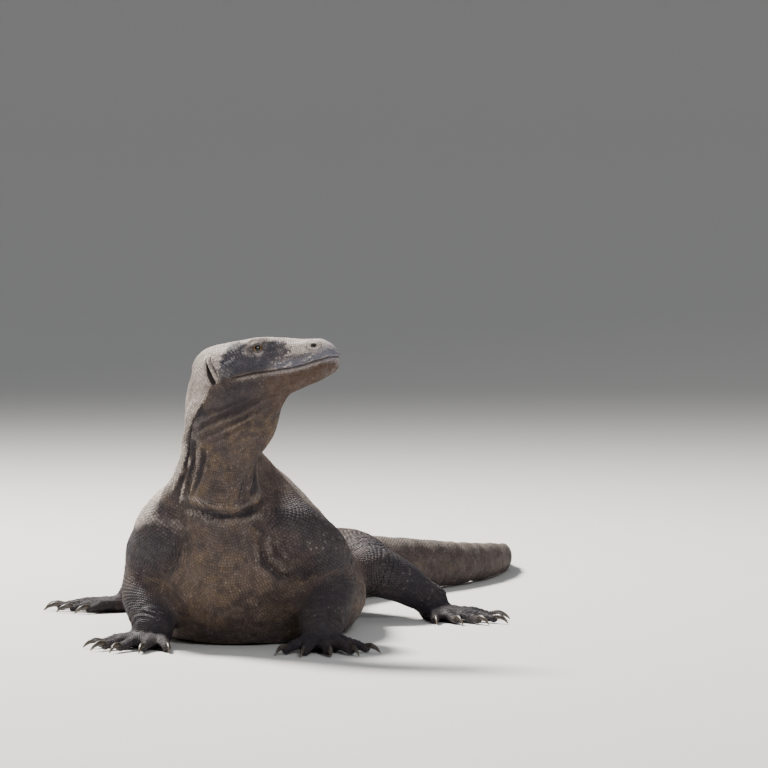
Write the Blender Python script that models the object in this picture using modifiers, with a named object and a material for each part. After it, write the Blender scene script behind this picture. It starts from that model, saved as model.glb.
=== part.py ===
"""Komodo dragon, a still life-size model.

It lies on its belly with the chest propped on both forelimbs, the neck upright and the head turned to its
left. The hind legs lie out to the sides and the tail trails behind.

Metres, +Z up. The trunk lies along Y with the chest towards -Y, and +X is the animal's left. The flesh is
modelled whole from lofted forms, fused and thinned, and then parted by thin cuts into the nodes that a
person would name.
"""

import math

import bmesh
import bpy
import numpy as np
from mathutils import Matrix, Vector
from mathutils.bvhtree import BVHTree

# ---------------------------------------------------------------- driving dimensions
HEAD_LENGTH = 0.190  # ear opening to snout tip
HEAD_PITCH = math.radians(9.5)  # nose up
HEAD_TURN = math.radians(-4.0)  # the head's heading, from +X towards +Y
HEAD_ROLL = math.radians(-3.0)
HEAD_EAR_LEVEL = Vector((-0.008, -0.050, 0.4140))  # between the ears, at the height of the mouth line

EYE_RADIUS = 0.0105
EYE_FORWARD = 0.071  # along the head, from the ears
EYE_SIDE = 0.0355
EYE_HEIGHT = 0.0345
EAR_LEAN = Matrix.Rotation(math.radians(-14), 4, "Y")  # the ear slit's top leans back

FUSE_VOXEL = 0.0042
FINE_SMOOTHING = 4  # rounds of smoothing everywhere
BODY_SMOOTHING = 26  # further rounds on the broad forms
THINNING_BIAS = 0.012  # how much more the body is thinned than head and paws
FLESH_TRIANGLES = 3000
CUT_WIDTH = 0.0007  # the gap between two nodes of flesh
SEAT_GAP = 0.0006  # the gap round an eye or a claw
RING_POINTS = 32
MERGE_DISTANCE = 0.000002

# ---------------------------------------------------------------- colours
HIDE = (0.16, 0.125, 0.10, 1.0)
HIDE_DARK = (0.07, 0.058, 0.052, 1.0)
HIDE_PALE = (0.34, 0.28, 0.22, 1.0)
CLAW_HORN = (0.035, 0.030, 0.027, 1.0)
EYE_BROWN = (0.05, 0.03, 0.015, 1.0)


# ---------------------------------------------------------------- small tools
def clear_scene():
    for obj in list(bpy.data.objects):
        bpy.data.objects.remove(obj)
    for name in ("komodo_dragon", "cutters"):
        bpy.context.scene.collection.children.link(bpy.data.collections.new(name))


def material(name, colour, roughness):
    made = bpy.data.materials.new(name)
    made.use_nodes = True
    shader = made.node_tree.nodes["Principled BSDF"]
    shader.inputs["Base Color"].default_value = colour
    shader.inputs["Roughness"].default_value = roughness
    shader.inputs["Metallic"].default_value = 0.0
    return made


def add_object(name, mesh, collection="komodo_dragon"):
    obj = bpy.data.objects.new(name, mesh)
    bpy.data.collections[collection].objects.link(obj)
    if collection == "cutters":
        obj.hide_render = True
        obj.display_type = "WIRE"
    return obj


def mesh_of(name, form):
    mesh = bpy.data.meshes.new(name)
    form.to_mesh(mesh)
    form.free()
    return mesh


def joined(name, forms):
    """One mesh from several bmeshes, still as separate shells."""
    whole = bmesh.new()
    for form in forms:
        part = mesh_of(name + "_part", form)
        whole.from_mesh(part)
        bpy.data.meshes.remove(part)
    return mesh_of(name, whole)


def track(table, per_span):
    """A smooth run through a table's rows: cubics spaced by the distance between the first three columns."""
    rows = np.array(table, float)
    steps = np.linalg.norm(np.diff(rows[:, :3], axis=0), axis=1)
    at = np.concatenate([[0.0], np.cumsum(steps)])
    slopes = np.gradient(rows, at, axis=0)
    out = []
    for i in range(len(rows) - 1):
        span = at[i + 1] - at[i]
        for k in range(per_span):
            t = k / per_span
            out.append(
                (2 * t**3 - 3 * t**2 + 1) * rows[i]
                + (t**3 - 2 * t**2 + t) * span * slopes[i]
                + (3 * t**2 - 2 * t**3) * rows[i + 1]
                + (t**3 - t**2) * span * slopes[i + 1]
            )
    return np.array([*out, rows[-1]])


def ring(centre, left, up, width, top, bottom, egg, square, count=RING_POINTS):
    """One cross-section. egg above 0 makes it wider low down, and square above 2 makes it boxier."""
    points = []
    for k in range(count):
        angle = 2 * math.pi * k / count
        side, rise = math.sin(angle), math.cos(angle)
        bent_side = math.copysign(abs(side) ** (2 / square), side)
        bent_rise = math.copysign(abs(rise) ** (2 / square), rise)
        height = top if rise >= 0 else bottom
        points.append(centre + left * (width * bent_side * (1 - egg * rise)) + up * (height * bent_rise))
    return points


def skin_rings(rings):
    """A closed loft through rings of equal count."""
    form = bmesh.new()
    rows = [[form.verts.new(p) for p in points] for points in rings]
    for one, two in zip(rows, rows[1:]):
        for k in range(len(one)):
            n = (k + 1) % len(one)
            form.faces.new((one[k], one[n], two[n], two[k]))
    form.faces.new(rows[0][::-1])
    form.faces.new(rows[-1])
    bmesh.ops.recalc_face_normals(form, faces=form.faces)
    return form


def loft(stations, per_span=5):
    """A body through stations: centre, dorsal way, half width, top, bottom, egg, square. Head end last."""
    run = track(stations, per_span)
    ways = np.gradient(run[:, :3], axis=0)
    rings = []
    for row, way in zip(run, ways):
        forward = Vector(way).normalized()
        up = Vector(row[3:6])
        up = (up - forward * up.dot(forward)).normalized()
        rings.append(ring(Vector(row[:3]), up.cross(forward), up, *row[6:11]))
    return skin_rings(rings)


def tube(points, radii, flatten=1.0, per_span=5, grow=0.0, count=RING_POINTS):
    """A round limb through points, each with its radius, with round ends. flatten squeezes its height."""
    run = track([[*p, r] for p, r in zip(points, radii)], per_span)
    ways = np.gradient(run[:, :3], axis=0)
    rings = []
    last = len(run) - 1
    caps = [math.radians(a) for a in ((55,) if count < 16 else (75, 50, 25))]
    for i, (row, way) in enumerate(zip(run, ways)):
        forward = Vector(way).normalized()
        side = forward.cross(Vector((0, 0, 1)))
        side = side.normalized() if side.length > 0.05 else Vector((1, 0, 0))
        up = side.cross(forward)
        radius = row[3] + grow
        here = Vector(row[:3])
        ends = [(-math.sin(a), math.cos(a)) for a in caps] if i == 0 else []
        ends.append((0.0, 1.0))
        ends += [(math.sin(a), math.cos(a)) for a in reversed(caps)] if i == last else []
        for along, share in ends:
            centre = here + forward * (radius * along)
            wide = radius * share
            rings.append(ring(centre, side, up, wide, wide * flatten, wide * flatten, 0.0, 2.0, count))
    return skin_rings(rings)


def ellipsoid(centre, radii, turn=None, around=14):
    form = bmesh.new()
    bmesh.ops.create_uvsphere(form, u_segments=around, v_segments=around // 2, radius=1.0)
    placed = Matrix.Translation(centre) @ (turn or Matrix.Identity(4)) @ Matrix.Diagonal((*radii, 1.0))
    bmesh.ops.transform(form, matrix=placed, verts=form.verts)
    return form


def plate(centre, normal, across, half_width, half_height, thick=CUT_WIDTH):
    """A thin flat box: normal is its thin way, and across its half_width's way."""
    thin = Vector(normal).normalized()
    wide = Vector(across)
    wide = (wide - thin * wide.dot(thin)).normalized()
    tall = thin.cross(wide)
    form = bmesh.new()
    bmesh.ops.create_cube(form, size=1.0)
    turn = Matrix((thin, wide, tall)).transposed().to_4x4()
    sized = Matrix.Diagonal((thick, 2 * half_width, 2 * half_height, 1.0))
    bmesh.ops.transform(form, matrix=Matrix.Translation(centre) @ turn @ sized, verts=form.verts)
    return form


# ---------------------------------------------------------------- trunk, neck and tail
def trunk_and_tail():
    """Tail tip to throat. The trunk sags at the belly and turns upright at the shoulders."""
    rear = Vector((0, 0, 1))
    stations = [
        # centre                dorsal way          wide    top     bottom  egg   square
        (0.240, 1.960, 0.0100, 0, 0, 1, 0.0050, 0.0085, 0.0100, 0.00, 2.0),
        (0.285, 1.800, 0.0190, 0, 0, 1, 0.0110, 0.0200, 0.0205, 0.05, 1.9),
        (0.318, 1.620, 0.0270, 0, 0, 1, 0.0165, 0.0290, 0.0290, 0.05, 1.9),
        (0.308, 1.420, 0.0340, 0, 0, 1, 0.0230, 0.0375, 0.0365, 0.08, 1.9),
        (0.255, 1.220, 0.0410, 0, 0, 1, 0.0300, 0.0460, 0.0440, 0.10, 1.9),
        (0.162, 1.040, 0.0490, 0, 0, 1, 0.0390, 0.0570, 0.0525, 0.10, 1.9),
        (0.072, 0.880, 0.0600, 0, 0, 1, 0.0500, 0.0640, 0.0635, 0.10, 2.0),
        (0.020, 0.755, 0.0740, 0, 0, 1, 0.0650, 0.0720, 0.0780, 0.10, 2.1),
        (0.003, 0.640, 0.0900, 0, 0, 1, 0.0920, 0.0820, 0.0960, 0.14, 2.2),
        (0.000, 0.520, 0.0980, 0, 0, 1, 0.1180, 0.1090, 0.1080, 0.24, 2.1),
        (0.000, 0.420, 0.1000, 0, 0, 1, 0.1500, 0.1380, 0.1150, 0.36, 2.0),
        (0.000, 0.320, 0.1030, 0, 0.06, 1, 0.1670, 0.1500, 0.1320, 0.42, 2.0),
        (0.000, 0.220, 0.1180, 0, 0.20, 1, 0.1630, 0.1650, 0.1580, 0.43, 2.0),
        (0.000, 0.125, 0.1460, 0, 0.48, 0.90, 0.1300, 0.1540, 0.1640, 0.34, 2.1),
        (-0.002, 0.045, 0.1900, 0, 0.85, 0.62, 0.1030, 0.1150, 0.1400, 0.16, 2.2),
        (-0.016, -0.004, 0.2560, -0.10, 1.0, 0.20, 0.0580, 0.0740, 0.0820, 0.00, 2.1),
        (-0.010, -0.028, 0.3150, -0.60, 0.80, 0.0, 0.0580, 0.0620, 0.0590, 0.00, 2.0),
        (0.003, -0.044, 0.3700, -0.95, 0.28, 0.22, 0.0560, 0.0705, 0.0740, 0.00, 2.0),
        (0.014, -0.050, 0.4120, -0.74, 0.05, 0.66, 0.0520, 0.0605, 0.0720, 0.00, 2.0),
        (0.045, -0.052, 0.4320, -0.20, 0.0, 0.98, 0.0420, 0.0300, 0.0500, 0.00, 2.0),
    ]
    forms = [loft(stations)]
    # Loose skin that hangs beside the neck and under the jaw.
    nape_fold = [(-0.051, -0.077, 0.372), (-0.054, -0.064, 0.320)]
    nape_fold += [(-0.073, -0.044, 0.268), (-0.094, -0.010, 0.220)]
    forms.append(tube(nape_fold, [0.007, 0.0105, 0.0145, 0.024]))
    pouch = [(0.092, -0.050, 0.404), (0.063, -0.052, 0.378), (0.054, -0.050, 0.344)]
    pouch += [(0.018, -0.048, 0.294), (-0.002, -0.046, 0.220)]
    forms.append(tube(pouch, [0.014, 0.026, 0.029, 0.0265, 0.030]))
    # Shoulder blades, with the muscle that slopes from the neck out to each shoulder.
    # The right shoulder is hitched higher by the forelimb that bears more weight.
    left_blade = [(0.026, 0.036, 0.292), (0.048, 0.044, 0.250), (0.072, 0.036, 0.210), (0.096, 0.010, 0.170)]
    right_blade = [(-0.034, 0.072, 0.250), (-0.081, 0.034, 0.218), (-0.106, 0.010, 0.180)]
    forms.append(tube(left_blade, [0.026, 0.034, 0.044, 0.047]))
    forms.append(tube(right_blade, [0.032, 0.0445, 0.0485]))
    return forms


# ---------------------------------------------------------------- head
def head_frame():
    """Head axes: local x forward along the mouth line, y left, z up, with the origin between the ears."""
    turn = (
        Matrix.Rotation(HEAD_TURN, 4, "Z")
        @ Matrix.Rotation(-HEAD_PITCH, 4, "Y")
        @ Matrix.Rotation(HEAD_ROLL, 4, "X")
    )
    return Matrix.Translation(HEAD_EAR_LEVEL) @ turn


def head():
    """A long flat-topped head with a broad round snout, full jowls and low brow ridges."""
    place = head_frame()
    tip = HEAD_LENGTH
    sections = [
        # forward, middle, wide, top, bottom, egg, square
        (-0.031, -0.004, 0.0470, 0.0365, 0.0500, 0.00, 2.0),
        (-0.012, 0.000, 0.0575, 0.0485, 0.0540, 0.04, 2.2),
        (0.020, 0.004, 0.0590, 0.0495, 0.0530, 0.06, 2.4),
        (0.050, 0.004, 0.0540, 0.0505, 0.0500, 0.08, 2.6),
        (0.078, 0.004, 0.0475, 0.0495, 0.0470, 0.08, 2.7),
        (0.105, 0.003, 0.0410, 0.0445, 0.0410, 0.06, 2.6),
        (0.130, 0.002, 0.0370, 0.0405, 0.0345, 0.05, 2.5),
        (0.155, 0.002, 0.0335, 0.0365, 0.0280, 0.05, 2.5),
        (0.172, 0.001, 0.0280, 0.0315, 0.0215, 0.04, 2.4),
        (tip - 0.007, 0.001, 0.0195, 0.0235, 0.0150, 0.02, 2.2),
        (tip - 0.001, 0.001, 0.0085, 0.0110, 0.0080, 0.00, 2.0),
    ]
    up = place.to_3x3() @ Vector((0, 0, 1))
    stations = [(*(place @ Vector((s, 0, m))), *up, w, t, b, e, q) for s, m, w, t, b, e, q in sections]
    forms = [loft(stations)]
    turn = place.to_3x3().to_4x4()
    for side in (1, -1):
        # (forward, side, up) of each swelling and its half sizes
        swellings = [
            ((0.012, 0.0400, -0.008), (0.036, 0.022, 0.036)),  # jaw muscle
            ((0.035, 0.0330, 0.026), (0.034, 0.020, 0.020)),  # temple
            ((0.072, 0.0330, 0.0460), (0.025, 0.0095, 0.0072)),  # brow ridge
            ((0.152, 0.0220, 0.0225), (0.017, 0.0120, 0.0130)),  # nostril capsule
        ]
        for (forward, out, high), radii in swellings:
            forms.append(ellipsoid(place @ Vector((forward, out * side, high)), radii, turn))
    return forms


def eye_centre(side):
    return head_frame() @ Vector((EYE_FORWARD, EYE_SIDE * side, EYE_HEIGHT))


def head_hollows():
    """The eye sockets, ear openings and nostrils, cut from the flesh."""
    place = head_frame()
    turn = place.to_3x3().to_4x4()
    forms = []
    for side in (1, -1):
        ear = place @ Vector((-0.002, 0.061 * side, 0.012))
        nostril = place @ Vector((0.155, 0.0345 * side, 0.0262))
        forms.append(ellipsoid(eye_centre(side), [EYE_RADIUS + 2 * SEAT_GAP] * 3, around=12))
        forms.append(ellipsoid(ear, (0.0060, 0.0120, 0.0200), turn @ EAR_LEAN, around=10))
        forms.append(ellipsoid(nostril, (0.0055, 0.0065, 0.0036), turn, around=8))
    return forms


def jaw_cut():
    """A bent thin sheet that parts the jaw from the head: along the mouth, then down behind the jaw."""
    place = head_frame()
    corner, back = (0.030, -0.001), (0.014, -0.058)
    bend = 0.012
    half = CUT_WIDTH / 2
    path = [
        (HEAD_LENGTH + 0.010, 0.000),
        (HEAD_LENGTH * 0.7, -0.0015),
        (corner[0] + bend, corner[1] + 0.001),
        (corner[0] + bend * 0.3, corner[1] - bend * 0.4),
        (corner[0] - bend * 0.2, corner[1] - bend * 1.6),
        back,
    ]
    run = np.array(path)
    ways = np.gradient(run, axis=0)
    rings = []
    for (forward, high), way in zip(run, ways):
        across = np.array([-way[1], way[0]]) / np.linalg.norm(way) * half
        edges = [(forward + across[0] * k, high + across[1] * k) for k in (1, -1)]
        corners = [(edges[0], 0.11), (edges[0], -0.11), (edges[1], -0.11), (edges[1], 0.11)]
        rings.append([place @ Vector((e[0], out, e[1])) for e, out in corners])
    return skin_rings(rings)


# ---------------------------------------------------------------- limbs
def side_name(side):
    return "left" if side > 0 else "right"


# Joints as (x, y, z) with x towards the animal's outside, for the left and right limb of each pair.
ARMS = {
    1: {"shoulder": (0.094, 0.004, 0.180), "elbow": (0.142, 0.098, 0.112), "wrist": (0.140, -0.008, 0.034),
        "heading": math.radians(14)},
    -1: {"shoulder": (0.092, 0.012, 0.178), "elbow": (0.143, 0.112, 0.112), "wrist": (0.121, 0.018, 0.034),
         "heading": math.radians(24)},
}
LEGS = {
    1: {"hip": (0.070, 0.622, 0.088), "knee": (0.172, 0.465, 0.087), "ankle": (0.266, 0.532, 0.033),
        "heading": math.radians(43)},
    -1: {"hip": (0.070, 0.634, 0.088), "knee": (0.176, 0.520, 0.090), "ankle": (0.254, 0.628, 0.032),
         "heading": math.radians(84)},
}
# Each toe: where it leaves the pad (share of the pad's width, from inside to outside), its angle from the
# foot's heading, and its length without the claw.
HAND_TOES = [(-1.0, -42, 0.046), (-0.52, -19, 0.060), (0.0, 0, 0.065), (0.52, 19, 0.060), (1.0, 46, 0.045)]
FOOT_TOES = [(-1.0, -32, 0.046), (-0.52, -15, 0.066), (0.0, -2, 0.082), (0.50, 11, 0.090), (0.9, 50, 0.060)]
HAND = {"pad": 0.034, "half": 0.036, "toe": 0.0084, "claw": 0.029, "rise": 0.020}
FOOT = {"pad": 0.050, "half": 0.033, "toe": 0.0084, "claw": 0.030, "rise": 0.020}


def mirrored(point, side):
    return Vector((point[0] * side, point[1], point[2]))


def between(a, b, share):
    return a + (b - a) * share


def paw_axes(limb, side):
    """The way a hand or foot points, and the way to its outer edge."""
    heading = limb["heading"]
    forward = Vector((math.sin(heading) * side, -math.cos(heading), 0))
    out = Vector((math.cos(heading) * side, math.sin(heading), 0))
    return forward, out


def toe_points(start, forward, out, angle, length, shape):
    """A toe's centreline: it lifts over the knuckle and comes down to its tip."""
    turn = math.radians(angle)
    way = forward * math.cos(turn) + out * math.sin(turn)
    radius = shape["toe"]
    low = radius * 0.80
    return [
        start + Vector((0, 0, shape["rise"] * 0.75)),
        start + way * (length * 0.42) + Vector((0, 0, low + 0.0080)),
        start + way * (length * 0.76) + Vector((0, 0, low + 0.0035)),
        start + way * length + Vector((0, 0, low + 0.0010)),
    ], way


def claw_points(tip, way, length):
    """A claw's centreline from inside the toe's tip: forward, then hooked down to the ground."""
    high = tip.z
    return [
        tip - way * 0.006 + Vector((0, 0, 0.0010)),
        tip + way * (length * 0.30) + Vector((0, 0, 0.0042)),
        tip + way * (length * 0.68) + Vector((0, 0, 0.0010)),
        tip + way * (length * 0.95) + Vector((0, 0, 0.0022 - high)),
    ]


CLAW_RADII = (0.0048, 0.0045, 0.0030, 0.0010)
CLAW_SIDES = 6


def paw(wrist, limb, side, shape, toes):
    """(flesh forms, claw centrelines) of a hand or foot that lies flat."""
    forward, out = paw_axes(limb, side)
    pad, half, rise = shape["pad"], shape["half"], shape["rise"]
    ground = Vector((wrist.x, wrist.y, 0))
    heel = ground - forward * 0.012 + Vector((0, 0, rise * 0.8))
    middle = ground + forward * (pad * 0.5) + Vector((0, 0, rise * 0.62))
    front = ground + forward * pad + Vector((0, 0, rise * 0.50))
    up = Vector((0, 0, 1))
    stations = [
        (*front, *up, half * 0.80, 0.0100, 0.0130, 0.1, 2.3),
        (*middle, *up, half * 0.88, 0.0175, 0.0165, 0.1, 2.3),
        (*heel, *up, half * 0.70, 0.0200, 0.0195, 0.0, 2.2),
    ]
    forms = [loft(stations, per_span=6)]
    claws = []
    for spread, angle, length in toes:
        start = ground + forward * (pad * (0.88 - 0.20 * abs(spread))) + out * (half * spread * 0.82)
        points, way = toe_points(start, forward, out, angle, length, shape)
        forms.append(tube(points, [shape["toe"] * k for k in (1.12, 1.10, 1.02, 0.92)], flatten=0.96))
        claws.append(claw_points(points[-1], way, shape["claw"]))
    return forms, claws


def arm(side):
    limb = ARMS[side]
    shoulder, elbow, wrist = (mirrored(limb[k], side) for k in ("shoulder", "elbow", "wrist"))
    upper = [shoulder, between(shoulder, elbow, 0.5) + Vector((0.012 * side, -0.006, 0.004)), elbow]
    belly = between(elbow, wrist, 0.38) + Vector((0.006 * side, -0.006, 0.0))
    lower = [elbow, belly, between(elbow, wrist, 0.8), wrist]
    thick = 0.0400 if side > 0 else 0.0365
    forms = [tube(upper, [0.052, thick + 0.008, thick]), tube(lower, [thick, 0.0435, 0.0390, 0.0335])]
    flesh, claws = paw(wrist, limb, side, HAND, HAND_TOES)
    return forms + flesh, claws


def leg(side):
    limb = LEGS[side]
    hip, knee, ankle = (mirrored(limb[k], side) for k in ("hip", "knee", "ankle"))
    upper = [hip, between(hip, knee, 0.5) + Vector((0.010 * side, 0.010, 0.004)), knee]
    calf = between(knee, ankle, 0.40) + Vector((0.0, 0.006, 0.004))
    lower = [knee, calf, between(knee, ankle, 0.82), ankle]
    forms = [tube(upper, [0.060, 0.058, 0.043]), tube(lower, [0.043, 0.0400, 0.0290, 0.0265])]
    flesh, claws = paw(ankle, limb, side, FOOT, FOOT_TOES)
    return forms + flesh, claws


# ---------------------------------------------------------------- parting cuts
def body_cuts():
    """Thin plates across the neck, trunk and tail, each well clear of the limbs."""
    x, y, z = Vector((1, 0, 0)), Vector((0, 1, 0)), Vector((0, 0, 1))
    cuts = [
        plate((0.004, -0.048, 0.378), (0.10, -0.10, 1.0), x, 0.13, 0.13),  # head from neck
        plate((-0.013, -0.030, 0.312), (0.0, -0.15, 1.0), x, 0.11, 0.12),  # upper from lower neck
        plate((-0.008, 0.004, 0.246), (0.0, -0.42, 1.0), x, 0.13, 0.15),  # neck from chest
        plate((0.0, 0.182, 0.150), y, x, 0.26, 0.24),  # chest from belly
        plate((0.0, 0.400, 0.110), y, x, 0.22, 0.20),  # belly from hips
        plate((0.027, 0.775, 0.070), (-0.30, 1.0, 0.0), x, 0.11, 0.16),  # hips from tail
    ]
    tail = [((0.130, 0.985), (-0.50, 0.87)), ((0.262, 1.235), (-0.42, 0.90)), ((0.317, 1.490), (0.0, 1.0)),
            ((0.305, 1.735), (0.17, 0.98))]
    for (px, py), (nx, ny) in tail:
        cuts.append(plate((px, py, 0.06), (nx, ny, 0.0), z, 0.12, 0.10))
    return cuts


def screen(side, path, lean):
    """A bent sheet that parts a limb from the flank. Its path of (x, y) starts and ends outside the body."""
    run = np.array(path)
    ways = np.gradient(run, axis=0)
    rings = []
    for (x, y), way in zip(run, ways):
        out = np.array([way[1], -way[0]]) / np.linalg.norm(way) * (CUT_WIDTH / 2)
        edges = [(x + out[0], y + out[1]), (x - out[0], y - out[1])]
        tops = [(edge[0] + lean, edge[1], 0.30) for edge in edges]
        corners = [*tops, (*edges[1], -0.03), (*edges[0], -0.03)]
        rings.append([mirrored(corner, side) for corner in corners])
    return skin_rings(rings)


ARM_SCREEN = [(0.046, -0.160), (0.070, -0.070), (0.094, 0.005), (0.114, 0.075), (0.142, 0.135),
              (0.220, 0.165)]
ARM_SCREEN_LEAN = {1: 0.0, -1: 0.022}  # how far outwards the screen's top leans, clear of the neck's fold
LEG_SCREEN = {
    1: [(0.190, 0.740), (0.112, 0.680), (0.090, 0.615), (0.104, 0.535), (0.134, 0.455), (0.163, 0.422),
        (0.240, 0.410)],
    -1: [(0.190, 0.760), (0.112, 0.700), (0.090, 0.640), (0.100, 0.570), (0.128, 0.505), (0.163, 0.462),
         (0.240, 0.430)],
}


def limb_joints(kind, side):
    limb = (ARMS if kind == "arm" else LEGS)[side]
    names = ("shoulder", "elbow", "wrist") if kind == "arm" else ("hip", "knee", "ankle")
    return [mirrored(limb[name], side) for name in names], paw_axes(limb, side)[0]


def limb_cuts(kind, side):
    """Plates across the elbow or knee and across the wrist or ankle, each halving the angle there."""
    (root, bend, end), forward = limb_joints(kind, side)
    upper, lower = (bend - root).normalized(), (end - bend).normalized()
    across = upper.cross(lower)
    paw_way = (lower + forward).normalized()
    return [
        plate(bend, upper + lower, across, 0.19, 0.19),
        plate(end - lower * 0.008, paw_way, lower.cross(forward), 0.07, 0.07),
    ]


# ---------------------------------------------------------------- building it
def evaluated(obj, name):
    """The object's mesh with its modifiers applied, as a new mesh in world space."""
    graph = bpy.context.evaluated_depsgraph_get()
    mesh = bpy.data.meshes.new_from_object(obj.evaluated_get(graph))
    mesh.name = name
    bpy.data.objects.remove(obj)
    return mesh


def fineness(place):
    """From 1 in the head and paws to 0 in the broad forms of the body."""
    to_head = (place - head_frame() @ Vector((0.07, 0, 0))).length / 0.125
    to_paws = []
    for kind in ("arm", "leg"):
        for side in (1, -1):
            joints, forward = limb_joints(kind, side)
            to_paws.append((place - joints[2] - forward * 0.055).length / 0.100)
    return min(1.0, max(0.0, 3.0 - 2.5 * min(to_head, *to_paws)))


def fused(forms):
    """The forms made into one smooth skin, thinned to the triangle budget most of all on the broad forms."""
    obj = add_object("fused", joined("fused", forms))
    remesh = obj.modifiers.new("fuse", "REMESH")
    remesh.mode = "VOXEL"
    remesh.voxel_size = FUSE_VOXEL
    obj = add_object("thinned", evaluated(obj, "thinned"))
    broad = obj.vertex_groups.new(name="broad")
    for vertex in obj.data.vertices:
        broad.add([vertex.index], 1.0 - 0.85 * fineness(vertex.co), "REPLACE")
    for rounds, group in ((FINE_SMOOTHING, ""), (BODY_SMOOTHING, broad.name)):
        ease = obj.modifiers.new("ease", "SMOOTH")
        ease.iterations = rounds
        ease.vertex_group = group
    triangles = sum(len(p.vertices) - 2 for p in obj.data.polygons)
    thin = obj.modifiers.new("thin", "DECIMATE")
    thin.ratio = FLESH_TRIANGLES / triangles
    thin.vertex_group = broad.name
    thin.vertex_group_factor = THINNING_BIAS
    thin.use_collapse_triangulate = True
    return evaluated(obj, "thinned")


def cut_with(mesh, cutters, name):
    obj = add_object(name, mesh)
    tool = add_object(name + "_cutter", joined(name + "_cutter", cutters), "cutters")
    cut = obj.modifiers.new("cut", "BOOLEAN")
    cut.operation = "DIFFERENCE"
    cut.solver = "EXACT"
    cut.use_self = len(cutters) > 1
    cut.object = tool
    made = evaluated(obj, name)
    bpy.data.objects.remove(tool)
    return made


def tidied(mesh):
    """The mesh as a bmesh with flat stretches dissolved and everything in triangles."""
    form = bmesh.new()
    form.from_mesh(mesh)
    bmesh.ops.remove_doubles(form, verts=form.verts, dist=MERGE_DISTANCE)
    bmesh.ops.dissolve_degenerate(form, edges=form.edges, dist=MERGE_DISTANCE)
    bmesh.ops.dissolve_limit(form, angle_limit=math.radians(0.1), verts=form.verts, edges=form.edges)
    bmesh.ops.triangulate(form, faces=form.faces)
    form.verts.index_update()
    form.faces.index_update()
    return form


def loose_parts(mesh):
    """The mesh's separate shells, largest first."""
    form = tidied(mesh)
    left = set(form.verts)
    shells = []
    while left:
        front = [left.pop()]
        shell = set(front)
        while front:
            near = {vert for edge in front.pop().link_edges for vert in edge.verts} & left
            left -= near
            shell |= near
            front += near
        shells.append(shell)
    parts = []
    for shell in sorted(shells, key=len, reverse=True):
        part = bmesh.new()
        copies = {vert: part.verts.new(vert.co) for vert in sorted(shell, key=lambda v: v.index)}
        faces = {face for vert in shell for face in vert.link_faces}
        for face in sorted(faces, key=lambda f: f.index):
            part.faces.new([copies[v] for v in face.verts])
        parts.append(part)
    form.free()
    return parts


def seeds():
    """A point inside each node of flesh, by which the cut pieces get their names."""
    place = head_frame()
    found = {
        "head": place @ Vector((0.060, 0, 0.020)),
        "lower_jaw": place @ Vector((0.110, 0, -0.018)),
        "neck_upper": Vector((-0.010, -0.040, 0.345)),
        "neck_lower": Vector((-0.012, -0.015, 0.280)),
        "chest": Vector((0.0, 0.090, 0.170)),
        "belly": Vector((0.0, 0.310, 0.110)),
        "hips": Vector((0.0, 0.620, 0.090)),
        "tail_1": Vector((0.075, 0.880, 0.060)),
        "tail_2": Vector((0.200, 1.110, 0.047)),
        "tail_3": Vector((0.305, 1.370, 0.036)),
        "tail_4": Vector((0.315, 1.610, 0.027)),
        "tail_5": Vector((0.275, 1.840, 0.017)),
    }
    for side in (1, -1):
        for kind, names in (("arm", ("upper_arm", "forearm", "hand")), ("leg", ("thigh", "shank", "foot"))):
            (root, bend, end), forward = limb_joints(kind, side)
            in_paw = end + forward * 0.03 - Vector((0, 0, 0.017))
            places = (between(root, bend, 0.82), between(bend, end, 0.52), in_paw)
            for name, point in zip(names, places):
                found[f"{name}_{side_name(side)}"] = point
    return found


def holds(tree, point):
    """Whether the point is inside the tree's closed shell, so that a ray out of it crosses an odd number."""
    way = Vector((0.31, 0.22, 0.93)).normalized()
    crossings = 0
    here = point.copy()
    while crossings < 50:
        hit = tree.ray_cast(here, way)
        if hit[0] is None:
            break
        crossings += 1
        here = hit[0] + way * 0.00001
    return crossings % 2 == 1


def flesh_and_claws():
    """All the flesh as lofted forms, and each claw's centreline by name."""
    forms = trunk_and_tail() + head()
    claw_lines = {}
    for side in (1, -1):
        for paw_name, limb in (("hand", arm), ("foot", leg)):
            flesh, claws = limb(side)
            forms += flesh
            for k, line in enumerate(claws, 1):
                claw_lines[f"claw_{paw_name}_{side_name(side)}_{k}"] = line
    return forms, claw_lines


def ground_block():
    form = bmesh.new()
    bmesh.ops.create_cube(form, size=1.0)
    below = Matrix.Translation((0, 0.9, -0.25)) @ Matrix.Diagonal((3, 4, 0.5, 1))
    bmesh.ops.transform(form, matrix=below, verts=form.verts)
    return form


def parted_flesh(flesh):
    """The flesh's nodes by name, as bmeshes: limbs freed from the flank first, then everything cut across."""
    named = seeds()
    plates = {"chest": [*body_cuts(), jaw_cut()]}
    for side in (1, -1):
        plates["forearm_" + side_name(side)] = limb_cuts("arm", side)
        plates["shank_" + side_name(side)] = limb_cuts("leg", side)
    screens = [screen(side, path, lean) for side in (1, -1)
               for path, lean in ((ARM_SCREEN, ARM_SCREEN_LEAN[side]), (LEG_SCREEN[side], 0.0))]
    nodes = {}
    for region in loose_parts(cut_with(flesh, screens, "freed")):
        inside = held_seeds(region, {name: named[name] for name in plates})
        for piece in loose_parts(cut_with(mesh_of("region", region), plates[inside[0]], "parted")):
            names = held_seeds(piece, named)
            if len(names) != 1:
                raise ValueError(f"one piece of flesh holds {names}")
            nodes[names[0]] = piece
    return nodes


def held_seeds(form, points):
    tree = BVHTree.FromBMesh(form)
    return [name for name, point in points.items() if holds(tree, point)]


def tone_of(name):
    if name.startswith(("head", "lower_jaw")):
        return "hide_pale"
    if name.startswith(("hand", "foot", "forearm", "shank")):
        return "hide_dark"
    return "hide"


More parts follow.
